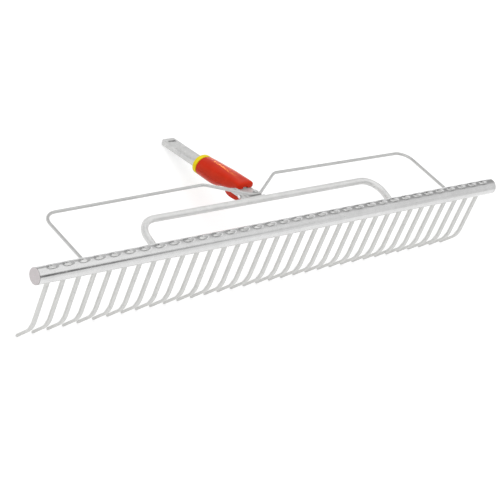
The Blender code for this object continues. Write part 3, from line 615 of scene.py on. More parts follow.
def tube_tree():
    """A tube from a flat cell with two holes, repeated in a row and rolled up, dished round each top hole."""
    sizes = ("Pitch", "Margin", "Radius", "Dish Length", "Dish Width", "Dish Depth")
    tree, given = shape_tree("dished_tube", {"Count": "Int", "Rows": "Int", **dict.fromkeys(sizes, "Float")})
    girth = add(tree, MATH, (given["Radius"], math.tau), operation="MULTIPLY")
    row = add(tree, MATH, (given["Count"], given["Pitch"]), operation="MULTIPLY")
    half = add(tree, MATH, (row, 0.5), operation="MULTIPLY")
    end = {"Size X": given["Margin"], "Size Y": girth, "Vertices X": 4, "Vertices Y": given["Rows"]}
    end = add(tree, "GeometryNodeMeshGrid", end, "Mesh")
    right = add(tree, MATH, (given["Margin"], 0.5, half), operation="MULTIPLY_ADD")
    left = add(tree, MATH, (right, -1.0), operation="MULTIPLY")
    third = add(tree, MATH, (girth, 1 / 3), operation="MULTIPLY")
    sheets = add(tree, "GeometryNodeJoinGeometry", (in_a_row(tree, given),))
    for side in (left, right):
        shift = add(tree, "ShaderNodeCombineXYZ", (side, third))
        moved = add(tree, "GeometryNodeTransform", {"Geometry": end, "Translation": shift})
        fill(tree, sheets.node, (moved,))
    where = add(tree, "GeometryNodeInputPosition")
    where = add(tree, "ShaderNodeSeparateXYZ", (where,), None)
    inward = add(tree, MATH, (half, -1.0), operation="MULTIPLY")
    held = add(tree, "ShaderNodeClamp", (where["X"], inward, half))
    shifted = add(tree, MATH, (held, half), operation="ADD")
    wrapped = add(tree, MATH, (shifted, given["Pitch"], 0.0), operation="WRAP")
    inset = add(tree, MATH, (given["Pitch"], 0.5), operation="MULTIPLY")
    from_tine = add(tree, MATH, (wrapped, inset), operation="SUBTRACT")
    along = add(tree, MATH, (from_tine, given["Dish Length"]), operation="DIVIDE")
    round_it = add(tree, MATH, (where["Y"], given["Dish Width"]), operation="DIVIDE")
    flat = add(tree, "ShaderNodeCombineXYZ", (along, round_it))
    off = add(tree, VECTOR_MATH, (flat,), "Value", operation="LENGTH")
    depth = (off, 0.18, 0.5, given["Dish Depth"], 0.0)
    depth = add(tree, MAP_RANGE, depth, interpolation_type="SMOOTHSTEP")
    reach = add(tree, MATH, (given["Radius"], depth), operation="SUBTRACT")
    turn = add(tree, MATH, (where["Y"], given["Radius"]), operation="DIVIDE")
    rolled = [where["X"]]
    for way in ("SINE", "COSINE"):
        part = add(tree, MATH, (turn,), operation=way)
        rolled.append(add(tree, MATH, (reach, part), operation="MULTIPLY"))
    rolled = add(tree, "ShaderNodeCombineXYZ", rolled)
    placed = add(tree, "GeometryNodeSetPosition", {"Geometry": sheets, "Position": rolled})
    welded = add(tree, "GeometryNodeMergeByDistance", {"Geometry": placed, "Distance": 1e-5})
    close_tree(tree, welded, given)
    return tree


# Finishes


def surface(name):
    """A new material of that name, its tree and the object's own coordinates in it."""
    material = bpy.data.materials.new(name)
    material.use_nodes = True
    tree = material.node_tree
    return material, tree, add(tree, "ShaderNodeTexCoord", out="Object")


def patterns(tree, place, *kinds):
    """Noise on these coordinates, for each kind: its size in metres, its detail and its roughness."""
    return [
        add(tree, NOISE, {"Vector": place, "Scale": 1 / size, "Detail": detail, "Roughness": roughness})
        for size, detail, roughness in kinds
    ]


def coat(tree, base, worn, tone, marks, clouds, roughness, lift, bump, sockets):
    """Ends a finish: its colour under the tone, worn at the marks, its roughness between two values by the
    clouds, with a lift at the marks, and its bump. The three values of the bump are its height, its strength
    and its depth in metres."""
    tinted = add(tree, VECTOR_MATH, {0: tuple(base), "Scale": tone}, operation="SCALE")
    mixed = add(tree, "ShaderNodeMix", {0: marks, 6: tinted, 7: (*worn, 1)}, 2, data_type="RGBA")
    rough = add(tree, MAP_RANGE, (clouds, *NOISE_RANGE, *roughness))
    rough = add(tree, MATH, (marks, lift, rough), operation="MULTIPLY_ADD")
    relief = add(tree, "ShaderNodeBump", dict(zip(("Height", "Strength", "Distance"), bump)))
    sockets |= {"Base Color": mixed, "Roughness": rough, "Normal": relief}
    fill(tree, tree.nodes["Principled BSDF"], sockets)


def metal(name, base, roughness, turn, spacing, wear=0.5, shine=1.0, mottle=1.0, tone_at_floor=1.0):
    """Zinc plate over drawn steel: fine lines along the way it was drawn, soft clouds from the bath, and
    small dull specks where it was handled. Turn lays the lines, and spacing is their distance in metres,
    drawn coarser than the real 0.1 mm so that they show. Shine is the share of the surface that still
    mirrors, and the rest is white with oxide. Mottle deepens the clouds. The last value is the share of the
    tone that is left at the floor, as the zinc grows darker towards the floor."""
    material, tree, place = surface(name)
    line_length, darkening_height = 0.07, 0.025
    laid = add(tree, "ShaderNodeMapping", {"Vector": place, "Rotation": turn})
    scale = (1 / line_length, 1 / spacing, 1 / spacing)
    drawn = add(tree, "ShaderNodeMapping", {"Vector": laid, "Scale": scale})
    (lines,) = patterns(tree, drawn, (1.0, 4.0, 0.5))
    clouds, specks = patterns(tree, place, (0.009, 5.0, 0.6), (0.0022, 2.0, 0.5))
    marks = add(tree, MAP_RANGE, (specks, 0.62, 0.72, 0.0, wear))
    shade = add(tree, MAP_RANGE, (clouds, *NOISE_RANGE, 1 - 0.07 * mottle, 1 + 0.04 * mottle))
    streak = add(tree, MAP_RANGE, (lines, *NOISE_RANGE, 0.95, 1.03))
    tone = add(tree, MATH, (shade, streak), operation="MULTIPLY")
    # The tone darkens towards the floor, down to the share given for the floor.
    if tone_at_floor < 1:
        height = add(tree, "ShaderNodeSeparateXYZ", (place,), "Z")
        fade = add(tree, MAP_RANGE, (height, 0.0, darkening_height, tone_at_floor))
        tone = add(tree, MATH, (tone, fade), operation="MULTIPLY")
    dull = [channel * 0.72 for channel in base]
    rough = (roughness * 0.8, roughness * 1.3)
    coat(tree, base, dull, tone, marks, clouds, rough, 0.25, (lines, 0.25, 0.00004), {"Metallic": shine})
    return material


def moulded(name, base, roughness, ior, gloss, grain, depth, painted_highlight_tint=None):
    """Injection moulded plastic: a fine eroded grain from the tool, faint flow clouds, and a few lighter
    scuffs.
    Grain is its size in metres, and depth its depth. The last value is a painted highlight: an orange that
    tints the plastic's highlights and its sheen, which show most where it is seen at a low angle."""
    material, tree, place = surface(name)
    kinds = (grain, 3.0, 0.5), (0.012, 3.0, 0.5), (0.003, 6.0, 0.7)
    grains, clouds, scuffs = patterns(tree, place, *kinds)
    tone = add(tree, MAP_RANGE, (clouds, *NOISE_RANGE, 0.92, 1.06))
    marks = add(tree, MAP_RANGE, (scuffs, 0.63, 0.75, 0.0, 0.25))
    pale = [min(1, channel * 1.15 + 0.02) for channel in base]
    rough = (roughness * 0.85, roughness * 1.15)
    sockets = {"IOR": ior, "Specular IOR Level": gloss}
    # A painted highlight: the orange tints the highlights and the sheen.
    if painted_highlight_tint:
        sockets |= dict.fromkeys(("Specular Tint", "Sheen Tint"), (*painted_highlight_tint, 1))
        sockets |= {"Sheen Weight": 1.0, "Sheen Roughness": 0.2}
    coat(tree, base, pale, tone, marks, clouds, rough, 0.5, (grains, 0.35, depth), sockets)
    return material


def finish(name):
    """The material of that name, made on its first use."""
    if name in bpy.data.materials:
        return bpy.data.materials[name]
    tints = bpy.context.scene.rake_finish
    lengthwise, upright, down_tongue = (0, 0, 0), (0, math.pi / 2, 0), (0, 0, math.pi / 2)
    # The values after the maker's name are in the order in which metal and moulded take them
    make, *look = {
        "bright_zinc_tube": (metal, tints.tube, 0.18, lengthwise, 0.0016, 0.3),
        "bright_zinc_rod": (metal, tints.rod, 0.2, lengthwise, 0.0011, 0.4),
        "satin_zinc_rod": (metal, tints.rod, 0.4, lengthwise, 0.0011, 0.4, 0.5),
        "dull_zinc_wire": (metal, tints.wire, 0.4, lengthwise, 0.0009, 0.4, 0.7),
        "hammered_zinc": (metal, tints.head, 0.28, lengthwise, 0.0011, 0.2, 0.8),
        "zinc_over_weld": (metal, tints.weld, 0.42, lengthwise, 0.0009, 0.9),
        # The tines' last value: the share of their tone left at the floor, as they grow darker towards it.
        "satin_zinc_tines": (metal, tints.tine, 0.36, upright, 0.0011, 0.5, 1.0, 1.0, 0.86),
        "satin_zinc_tongue": (metal, tints.tongue, 0.45, down_tongue, 0.0013, 0.9, 0.55, 2.0),
        "plain_spring_steel": (metal, tints.spring, 0.3, down_tongue, 0.001, 0.6),
        "grey_polyethylene": (moulded, tints.cap, 0.5, 1.51, 0.35, 0.0010, 0.00006),
        # The red's highlights and sheen take the orange painted highlight tint.
        "red_moulded_abs": (moulded, tints.red, 0.18, 1.53, 0.22, 0.0008, 0.00004, tints.painted_highlight_tint),
        "yellow_moulded_abs": (moulded, tints.yellow, 0.36, 1.53, 0.2, 0.0008, 0.00004),
    }[name]
    return make(name, *look)


# Shapes of this rake head


def flat_cell(pitch, girth, hole, side=16, rings=7):
    """One pitch of the tube's wall laid flat, with the tine's upper hole at the origin and its lower hole
    half the girth away. Y runs round the tube."""
    shape = bmesh.new()
    half_x, half_y = pitch / 2, girth / 6
    edge = [(-half_x + pitch * k / side, -half_y) for k in range(side)]
    edge += [(half_x, -half_y + 2 * half_y * k / side) for k in range(side)]
    edge += [(half_x - pitch * k / side, half_y) for k in range(side)]
    edge += [(-half_x, half_y - 2 * half_y * k / side) for k in range(side)]
    for middle in (0, girth / 2):
        loops = []
        for ring in range(rings + 1):
            t = (ring / rings) ** 1.25
            loop = []
            for k, (x, y) in enumerate(edge):
                turn = math.tau * k / len(edge) - math.pi * 3 / 4
                inner = (hole * math.cos(turn), hole * math.sin(turn))
                loop.append((inner[0] + (x - inner[0]) * t, middle + inner[1] + (y - inner[1]) * t, 0))
            loops.append([*loop, loop[0]])
        quads(shape, loops)
    for low in (half_y, girth / 2 + half_y):
        levels = [low + half_y * row / (side // 2) for row in range(side // 2, -1, -1)]
        quads(shape, [[(-half_x + pitch * k / side, y, 0) for k in range(side + 1)] for y in levels])
    return mesh_of(shape, "flat_cell")


def section(half_width, bottom, top, squareness, sides=72):
    """Points (X, Z) of a rounded box, from a circle-like one at squareness 2 to a square one."""
    middle, half_height = (top + bottom) / 2, (top - bottom) / 2
    points = []
    for side in range(sides):
        turn = math.tau * (side + 0.5) / sides
        across, up = math.cos(turn), math.sin(turn)
        x = half_width * math.copysign(abs(across) ** (2 / squareness), across)
        z = middle + half_height * math.copysign(abs(up) ** (2 / squareness), up)
        points.append((x, z))
    return points


# The socket's section at stations along the tongue: the distance along it, what the half width adds to a snug
# fit, how far it reaches under and over the tongue, and how square it is.
SOCKET_STATIONS = (
    (0.0254, -0.0014, -0.0080, 0.0062, 3.4),
    (0.0262, -0.0001, -0.0077, 0.0080, 3.4),
    (0.0278, 0.0003, -0.0074, 0.0087, 3.4),
    (0.0320, 0.0004, -0.0062, 0.0090, 3.4),
    (0.0380, 0.0006, -0.0028, 0.0093, 3.2),
    (0.0440, 0.0009, -0.0006, 0.0094, 3.0),
    (0.0520, 0.0015, 0.0018, 0.0094, 2.8),
    (0.0600, 0.0020, 0.0049, 0.0093, 2.5),
    (0.0680, 0.0022, 0.0067, 0.0091, 2.3),
    (0.0770, 0.0022, 0.0070, 0.0087, 2.2),
    (0.0890, 0.0020, 0.0069, 0.0078, 2.1),
)


def smooth_stations(stations, steps):
    """Extra stations on a smooth curve through the given ones, by Hermite pieces with limited slopes."""

    def slopes(column):
        runs = [b[0] - a[0] for a, b in zip(stations, stations[1:])]
        rates = [(b[column] - a[column]) / run for a, b, run in zip(stations, stations[1:], runs)]
        inner = [
            0 if before * after <= 0 else 2 * before * after / (before + after)
            for before, after in zip(rates, rates[1:])
        ]
        return [rates[0], *inner, rates[-1]]

    tables = [slopes(column) for column in range(len(stations[0]))]
    fine = []
    for place, (a, b) in enumerate(zip(stations, stations[1:])):
        run = b[0] - a[0]
        for step in range(steps):
            t = step / steps
            row = []
            for column, table in enumerate(tables):
                h00, h10 = (1 + 2 * t) * (1 - t) ** 2, t * (1 - t) ** 2
                h01, h11 = t * t * (3 - 2 * t), t * t * (t - 1)
                ends = a[column] * h00 + b[column] * h01
                row.append(ends + run * (table[place] * h10 + table[place + 1] * h11))
            fine.append(tuple(row))
    return [*fine, stations[-1]]


def socket_section(neck, socket, station, inset):
    """The socket's section at a station, drawn in by the inset."""
    growth, under, over, squareness = station[1:]
    half_height = TONGUE_HEIGHT / 2
    return section(
        neck.width / 2 + GAP + socket.wall + growth - inset,
        -half_height - under + inset,
        half_height + over - inset,
        squareness,
    )


def plate_levels(neck):
    """Heights over the tongue's middle: of the plate's own middle, and of its top."""
    middle = TONGUE_HEIGHT / 2 + GAP + neck.plate / 2
    return middle, middle + neck.plate / 2


def blade_top(lever, distance):
    """Height of the latch blade's top over the pin, this far behind it."""
    return lever.blade_lift - (distance - lever.blade_start) * math.tan(lever.blade_droop)


def lever_top(lever, distance):
    """Height of the lever's own top over the pin, just under the blade."""
    return blade_top(lever, distance) - lever.blade - GAP


class RakeOperator:
    """What the operators share."""

    bl_options = {"REGISTER", "UNDO"}


class RAKE_OT_tube(RakeOperator, bpy.types.Operator):
    """Make the tube with its dished tine holes"""

    bl_idname = "rake.tube"
    bl_label = "Tube"

    def execute(self, context):
        tube, tines = context.scene.rake_tube, context.scene.rake_tines
        side = 16
        cell = flat_cell(PITCH, math.tau * TUBE_RADIUS, tines.diameter / 2 + GAP, side)
        values = {
            "Count": len(TINE_XS),
            "Rows": 3 * side + 1,
            "Pitch": PITCH,
            "Margin": TUBE_HIGH.x + tube.reach - TINE_XS[-1] - PITCH / 2,
            "Radius": TUBE_RADIUS,
            "Dish Length": tube.dish_length,
            "Dish Width": tube.dish_width,
            "Dish Depth": tube.dish_depth,
            "Material": finish("bright_zinc_tube"),
        }
        mesh = grown(cell, tube_tree(), values, tube.wall)
        piece("tube", mesh, RAKE, "head", "bright_zinc_tube", ["beam_tube"])
        return {"FINISHED"}


class RAKE_OT_caps(RakeOperator, bpy.types.Operator):
    """Make the moulded cap in each end of the tube"""

    bl_idname = "rake.caps"
    bl_label = "End caps"

    def execute(self, context):
        tube = context.scene.rake_tube
        plug = TUBE_RADIUS - tube.wall - GAP
        top, back = tube.cap_flange + GAP, tube.reach + GAP
        dimple, dimple_depth, ease = 0.0011, 0.0004, 0.0004
        outline = [
            (0, top - dimple_depth),
            (dimple, top - dimple_depth),
            (dimple + 0.0004, top - 0.00005),
            (plug * 0.8, top),
            (plug, top - tube.cap_dome * 0.12),
            (TUBE_RADIUS - 0.0003, top - tube.cap_dome * 0.5),
            (TUBE_RADIUS, top - tube.cap_dome),
            (TUBE_RADIUS, back),
            (plug, back),
            (plug, -tube.cap_plug),
            (0, -tube.cap_plug),
        ]
        for side, sign in (("left", -1), ("right", 1)):
            turn = Matrix.Rotation(sign * math.pi / 2, 4, "Y")
            place = RAKE @ Matrix.Translation((sign * TUBE_HIGH.x, 0, 0)) @ turn
            mesh = turned("cap", eased(outline, ease), 64)
            look, node = "grey_polyethylene", f"end_cap_{side}"
            piece(f"cap_{side}", mesh, place, "head", look, [node])
        return {"FINISHED"}


class RAKE_OT_tines(RakeOperator, bpy.types.Operator):
    """Make the row of bent tines with their peened heads"""

    bl_idname = "rake.tines"
    bl_label = "Tines"

    # The peened head, from its crown to its edge: shares of its half width, and of its height from the top
    DOME = ((0.3, 0), (0.6, 0.03), (0.8, 0.1), (0.93, 0.28), (1.0, 0.6), (1.0, 1.0))

    def execute(self, context):
        tines = context.scene.rake_tines
        foot = TUBE_RADIUS - context.scene.rake_tube.dish_depth
        sunk = 0.0004  # from the bottom of the dish to where the bare rod begins
        path = [Vector((0, 0, foot + tines.head_height * (1 - drop))) for out, drop in self.DOME]
        radii = [tines.head / 2 * out for out, drop in self.DOME]
        stretch = [tines.head_length / tines.head] * len(path)
        self.shank(tines, foot - sunk, path, radii)
        values = {
            "Count": len(TINE_XS),
            "Pitch": PITCH,
            "Swing": (0.0, math.radians(0.2), math.radians(1.0)),
            "Seed": 5,
            "Top Level": foot - sunk / 2,
            "Dent": 0.0007,
            "Dent Size": 0.0030,
            "Top Material": finish("hammered_zinc"),
            "Material": finish("satin_zinc_tines"),
        }
        mesh = grown(swept("tine", path, radii, 24, stretch), row_tree(), values)
        piece("tines", mesh, RAKE, "head", None, TINE_NODES, 50)
        return {"FINISHED"}

    def shank(self, tines, start, path, radii):
        """Adds the bent rod under the head. It tapers beyond the middle of its bend, on its upper side."""
        rod = tines.diameter / 2
        ahead = Vector((0, math.sin(tines.bend), -math.cos(tines.bend)))
        reach = tines.bend_radius * math.tan(tines.bend / 2)
        corner = Vector((0, 0, -tines.straight - reach))
        tip = corner + ahead * (reach + tines.tip)
        line = bent([Vector((0, 0, start)), corner, tip], [tines.bend_radius], 16)
        thin = len(line) // 2
        for place, (point, along) in enumerate(zip(line, directions(line))):
            share = 1 - (1 - tines.taper) * max(0, place - thin) / (len(line) - 1 - thin)
            path.append(point + along.cross(Vector((1, 0, 0))) * rod * (1 - share))
            radii.append(rod * share)
        end, last = path.pop(), radii.pop()
        for back, share in ((1, 1), (1 / 3, 0.88), (0, 0.66)):
            path.append(end - ahead * tines.point * back)
            radii.append(last * share)


def wire_line(name, corners):
    """A curve object's data through (point, bend radius) pairs."""
    curve = bpy.data.curves.new(name, "CURVE")
    curve.dimensions = "3D"
    spline = curve.splines.new("POLY")
    spline.points.add(len(corners) - 1)
    for point, (place, radius) in zip(spline.points, corners):
        point.co = (*place, 1)
        point.radius = radius
    return curve


class RAKE_OT_loop(RakeOperator, bpy.types.Operator):
    """Make the rod loop and its two weld beads"""

    bl_idname = "rake.loop"
    bl_label = "Rod loop"

    def execute(self, context):
        wires = context.scene.rake_wires
        run = Vector((0, wires.loop_reach, -wires.loop_drop))
        slope = Vector((0, math.cos(wires.loop_slope), math.sin(wires.loop_slope)))
        side = Vector((wires.loop_half_width, 0, 0))
        root = run - slope * wires.loop_reach
        bend = wires.loop_corner
        corners = [(root - side, 0), (run - side, bend), (run + side, bend), (root + side, 0)]
        values = {"Thickness": wires.loop, "Sides": 40, "Material": finish("satin_zinc_rod")}
        mesh = grown(wire_line("rod_loop", corners), rod_tree(), values)
        ends = Vector((TUBE_HIGH.x, 0, 0))
        mesh = carved(mesh, [dowel("beam", -ends, ends, TUBE_RADIUS + GAP, 96)])
        piece("rod_loop", mesh, RAKE, "head", "satin_zinc_rod", ["stay_loop"])
        for name, sign in (("weld_left", -1), ("weld_right", 1)):
            bead = weld_bead(name, wires, root, slope, sign)
            piece(name, bead, RAKE, "head", "zinc_over_weld", (), 70)
        return {"FINISHED"}


# The weld bead's section: how far out, as a share of the bead, and how far up the rod from the tube in metres
BEAD_SECTION = (
    (1.0, -0.0006),
    (1.0, 0.0),
    (0.92, 0.0006),
    (0.6, 0.0014),
    (0.25, 0.0023),
    (-0.05, 0.0029),
    (-0.05, -0.0006),
)


def weld_bead(name, wires, root, slope, sign, steps=72):
    """A rippled bead round the root of a leg, from the tube's surface up onto the rod."""
    upward = Vector((0, -slope.z, slope.y))
    rings = []
    for out, rise in BEAD_SECTION:
        ring = []
        for step in range(steps):
            turn = math.tau * step / steps
            lump = 1 + 0.10 * math.sin(11 * turn + sign) + 0.07 * math.sin(5 * turn + 2 * sign)
            radius = wires.loop / 2 + wires.bead * out * (lump if out > 0 else 1)
            offset = root + upward * (radius * math.sin(turn))
            x = sign * wires.loop_half_width + radius * math.cos(turn)
            across = offset.dot(slope)
            reach = -across + math.sqrt(max(0, across**2 - offset.length_squared + TUBE_RADIUS**2))
            point = offset + slope * (reach + rise * (lump if rise > 0 else 1))
            ring.append((x, point.y, point.z))
        rings.append(ring)
    return skin(name, [*rings, rings[0]], closed_ends=False)


class RAKE_OT_bail(RakeOperator, bpy.types.Operator):
    """Make the wire bail with its vee"""

    bl_idname = "rake.bail"
    bl_label = "Wire bail"

    def execute(self, context):
        wires, neck = context.scene.rake_wires, context.scene.rake_neck
        x = wires.bail_pitches * PITCH
        seat_level = plate_levels(neck)[1] + GAP + wires.bail / 2
        seat = RAKE.inverted() @ TONGUE @ Vector((0, wires.vee_seat, seat_level))
        half = [
            (Vector((x, wires.bail_start, -wires.bail_start_drop)), 0),
            (Vector((x, wires.bail_reach, -wires.bail_drop)), wires.bail_corner),
            (Vector((wires.vee_half_width, wires.bail_reach, -wires.vee_drop)), wires.vee_corner),
            (Vector((wires.vee_flat, seat.y, seat.z)), wires.vee_bottom),
        ]
        half += [(Vector((-place.x, place.y, place.z)), bend) for place, bend in reversed(half)]
        values = {"Thickness": wires.bail, "Sides": 24, "Material": finish("dull_zinc_wire")}
        mesh = grown(wire_line("wire_bail", half), rod_tree(), values)
        piece("wire_bail", mesh, RAKE, "head", "dull_zinc_wire", ["catch_bail"])
        return {"FINISHED"}


class RAKE_OT_tongue(RakeOperator, bpy.types.Operator):
    """Make the box section tongue with its catch slot"""

    bl_idname = "rake.tongue"
    bl_label = "Tongue"

    def execute(self, context):
        scene = context.scene
        neck, lever, socket = scene.rake_neck, scene.rake_lever, scene.rake_socket
        half, high = neck.width / 2, TONGUE_HEIGHT / 2
        inner, web = half - TONGUE_WALL, high - TONGUE_WALL
        over = 0.001  # so that a cut reaches through
        top = high + over
        plan = [(-half, neck.start)]
        for sign in (-1, 1):
            x, y = sign * (half - neck.corner), TONGUE_END - neck.corner
            for step in range(9):
                turn = math.pi / 2 * (1 - step / 8) - (sign - 1) * math.pi / 4
                plan.append((x + neck.corner * math.cos(turn), y + neck.corner * math.sin(turn)))
        plan.append((half, neck.start))
        bar = skin("tongue", [[(x, y, z) for x, y in plan] for z in (-high, high)])
        bar = carved(bar, [], neck.edge)
        long, wide = neck.slot_length / 2, neck.slot_width / 2
        middle = TONGUE_END - neck.slot_from_end
        pin_level, pin_place = web - GAP - lever.boss, (TONGUE.inverted() @ PIVOT).y
        pin = [(x, pin_place, pin_level) for x in (-half - over, half + over)]
        cuts = [
            block("hollow", (-inner, neck.start - over, -web), (inner, TONGUE_END + over, web)),
            block("cutout", (-inner, neck.cutout_start, -top), (inner, neck.cutout_end, 0)),
            block("slot", (-long, middle - wide, 0), (long, middle + wide, top)),
            dowel("pin", *pin, lever.pin / 2 + GAP),
        ]
        rivets = [(place, neck.rivet_shank) for place in (neck.rivet_front, neck.rivet_rear)]
        for place, thick in ((socket.stud_place, socket.stud), *rivets):
            cuts.append(dowel("hole", (0, place, 0), (0, place, top), thick / 2 + GAP))
        edge = 0.00015  # rounding of the cut edges
        mesh = carved(bar, cuts, edge)
        piece("tongue_bar", mesh, TONGUE, "head", "satin_zinc_tongue", ["tongue"])
        return {"FINISHED"}


class RAKE_OT_plate(RakeOperator, bpy.types.Operator):
    """Make the neck plate with its hook, and the rivets that hold it"""

    bl_idname = "rake.plate"
    bl_label = "Neck plate"

    def execute(self, context):
        neck, wires = context.scene.rake_neck, context.scene.rake_wires
        slot, look = "galvanised_steel", "satin_zinc_tongue"
        middle, top = plate_levels(neck)
        places = (neck.rivet_front, neck.rivet_rear)
        ends, edge = (middle - neck.plate, top + 0.001), 0.0003
        holes = [
            dowel("hole", *((0, place, z) for z in ends), neck.rivet_shank / 2 + GAP) for place in places
        ]
        hook = self.hook(neck, wires, middle, top)
        mesh = carved(self.strip(neck, wires, middle), holes, edge, [hook])
        piece("plate", mesh, TONGUE, "head", look, ["neck_plate"])
        for name, place in zip(("rivet_front", "rivet_rear"), places):
            where = TONGUE @ Matrix.Translation((0, place, 0))
            mesh = turned(name, self.rivet(neck, top + GAP))
            piece(name, mesh, where, "head", look, [f"neck_{name}"])
        return {"FINISHED"}

    def strip(self, neck, wires, middle):
        """The plate: from over the loop's rod down to the tongue."""
        level = neck.drop + neck.plate_rise
        front = wires.loop / 2 + GAP
        knee = front + (neck.plate_step - front) * 0.45
        corners = ((front, level), (knee, level), (neck.plate_step, middle), (neck.plate_end, middle))
        line = bent([(0, y, z) for y, z in corners], [2 * neck.plate, 2 * neck.plate], 8)
        sides = []
        for sign in (1, -1):
            side = [
                (point.y - sign * ahead.z * neck.plate / 2, point.z + sign * ahead.y * neck.plate / 2)
                for point, ahead in zip(line, directions(line))
            ]
            sides += side[::sign]
        return prism("plate", sides, neck.width)

    def hook(self, neck, wires, middle, top):
        """The hook, which rises behind the vee and reaches back over it."""
        near = wires.vee_seat + wires.bail / 2 + GAP
        far = near + neck.hook
        under = top + 2 * GAP + wires.bail
        over, tip = under + neck.hook, far - neck.hook_overhang
        side = ((near, middle), (far, middle), (far, over), (tip, over), (tip, under), (near, under))
        return prism("hook", side, neck.hook_width)

    def rivet(self, neck, seat):
        """The outline of a rivet from its domed head down to the spread end under the tongue's web."""
        head, shank, rise = neck.rivet_head / 2, neck.rivet_shank / 2, neck.rivet_height
        tail = TONGUE_HEIGHT / 2 - TONGUE_WALL - GAP
        spread, spread_height = 0.002, 0.0004
        outline = [(0, seat + rise)]
        for step in range(7, -1, -1):
            turn = step * math.pi / 14
            out, up = 0.45 + 0.55 * math.cos(turn), 0.4 + 0.6 * math.sin(turn)
            outline.append((head * out, seat + rise * up))
        outline += [(head, seat), (shank, seat), (shank, tail)]
        return [*outline, (spread, tail), (spread, tail - spread_height), (0, tail - spread_height)]


class RAKE_OT_socket(RakeOperator, bpy.types.Operator):
    """Make the two moulded halves of the socket"""

    bl_idname = "rake.socket"
    bl_label = "Socket halves"

    def execute(self, context):
        neck, socket = context.scene.rake_neck, context.scene.rake_socket
        fine = smooth_stations(SOCKET_STATIONS, 5)
        last = SOCKET_STATIONS[-1]
        end = last[0] + socket.collar - socket.collar_lip - GAP
        far = last[0] + 2 * socket.collar
        wide = 2 * neck.width
        high, snug = TONGUE_HEIGHT / 2, neck.width / 2 + GAP
        spigot = socket_section(neck, socket, last, socket.collar_wall + GAP)
        outer = [(row[0], socket_section(neck, socket, row, 0)) for row in fine]
        outer += [(last[0], spigot), (end, spigot)]
        hollow_from = SOCKET_STATIONS[2][0] - 1e-6
        inner = [
            (row[0], socket_section(neck, socket, row, socket.wall)) for row in fine if row[0] >= hollow_from
        ]
        inner.append((far, inner[-1][1]))
        top = plate_levels(neck)[1]
        arch = top + 2 * GAP + neck.rivet_height
        room = neck.rivet_head / 2 + GAP
        side = ((room, top + GAP), (snug, top + GAP), (snug, -high - GAP))
        half = ((room - GAP, arch), (room, arch - GAP), *side)
        recess = [(y, mirrored(half)) for y in (0, socket.stud_place + socket.stud)]
        below = block("below", (-wide, socket.lower_start - GAP, -wide), (wide, far, GAP / 2))
        upper = carved(loft("upper", outer), [below, loft("hollow", inner), loft("recess", recess)])
        feet = [(0, socket.stud_place, z) for z in (high - TONGUE_WALL, socket_stud_top(socket))]
        upper = carved(upper, [], 0, [dowel("stud", *feet, socket.stud / 2)])
        slot, ledge = neck.width / 2 - TONGUE_WALL + GAP, -high - GAP
        half = ((snug, 0.001), (snug, ledge), (slot, ledge), (slot, -wide))
        notch = [(y, mirrored(half)) for y in (0, socket.slot_end)]
        above = block("above", (-wide, 0, -GAP / 2), (wide, far, wide))
        front = block("front", (-wide, 0, -wide), (wide, socket.lower_start, wide))
        lower = carved(loft("lower", outer), [above, front, loft("hollow", inner), loft("slot", notch)])
        for side, mesh in (("upper", upper), ("lower", lower)):
            look, nodes = "red_moulded_abs", [f"shell_{side}"]
            half = piece(f"socket_{side}", mesh, TONGUE, "head", look, nodes)
            bpy.data.collections[STREAKED].objects.link(half)
        return {"FINISHED"}


def socket_stud_top(socket):
    """The middle of the upper half's wall over the stud."""
    over = next(row[3] for row in SOCKET_STATIONS if row[0] >= socket.stud_place - 1e-6)
    return TONGUE_HEIGHT / 2 + over - socket.wall / 2


class RAKE_OT_collar(RakeOperator, bpy.types.Operator):
    """Make the collar over the ends of the socket halves"""

    bl_idname = "rake.collar"
    bl_label = "Collar"

    def execute(self, context):
        neck, socket = context.scene.rake_neck, context.scene.rake_socket
        last = SOCKET_STATIONS[-1]
        start, end = last[0] + socket.collar_groove, last[0] + socket.collar
        rounding = socket.collar_rounding
        front = ((0, 0.4), (0.15, 0.12), (0.4, 0))  # shares of the rounding: along the tongue, and inwards
        rows = [(start + rounding * along, rounding * inset) for along, inset in front]
        for step in range(6):
            turn = math.pi / 2 * step / 5
            rows.append((end - rounding * (1 - math.sin(turn)), rounding * (1 - math.cos(turn))))
        mouth, lip, inside = socket.collar_wall + socket.wall, end - socket.collar_lip, socket.collar_wall
        rows += [(end, mouth), (lip, mouth), (lip, inside), (start, inside)]
        rings = [[(x, y, z) for x, z in socket_section(neck, socket, last, inset)] for y, inset in rows]
        mesh = skin("collar", [*rings, rings[0]], closed_ends=False)
        piece("collar_ring", mesh, TONGUE, "head", "yellow_moulded_abs", ["collar"])
        return {"FINISHED"}


def lever_outline(lever, steps=40):
    """The side view of the release lever in its own frame, as (Y, Z) points, the pad's underside first."""
    outline = []
    for step in range(1, steps + 1):
        t = step / steps
        y = -lever.heel + t * (lever.heel + lever.reach)
        fullness = (1 - abs(2 * t - 1) ** 2.4) ** (1 / 2.4)
        outline.append((y, lever_top(lever, y) - lever.depth * fullness))
    outline.append((lever.blade_start, lever_top(lever, lever.blade_start)))
    for step in range(17):
        turn = math.pi * step / 16
        outline.append((lever.boss * math.cos(turn), lever.boss * math.sin(turn)))
    return outline


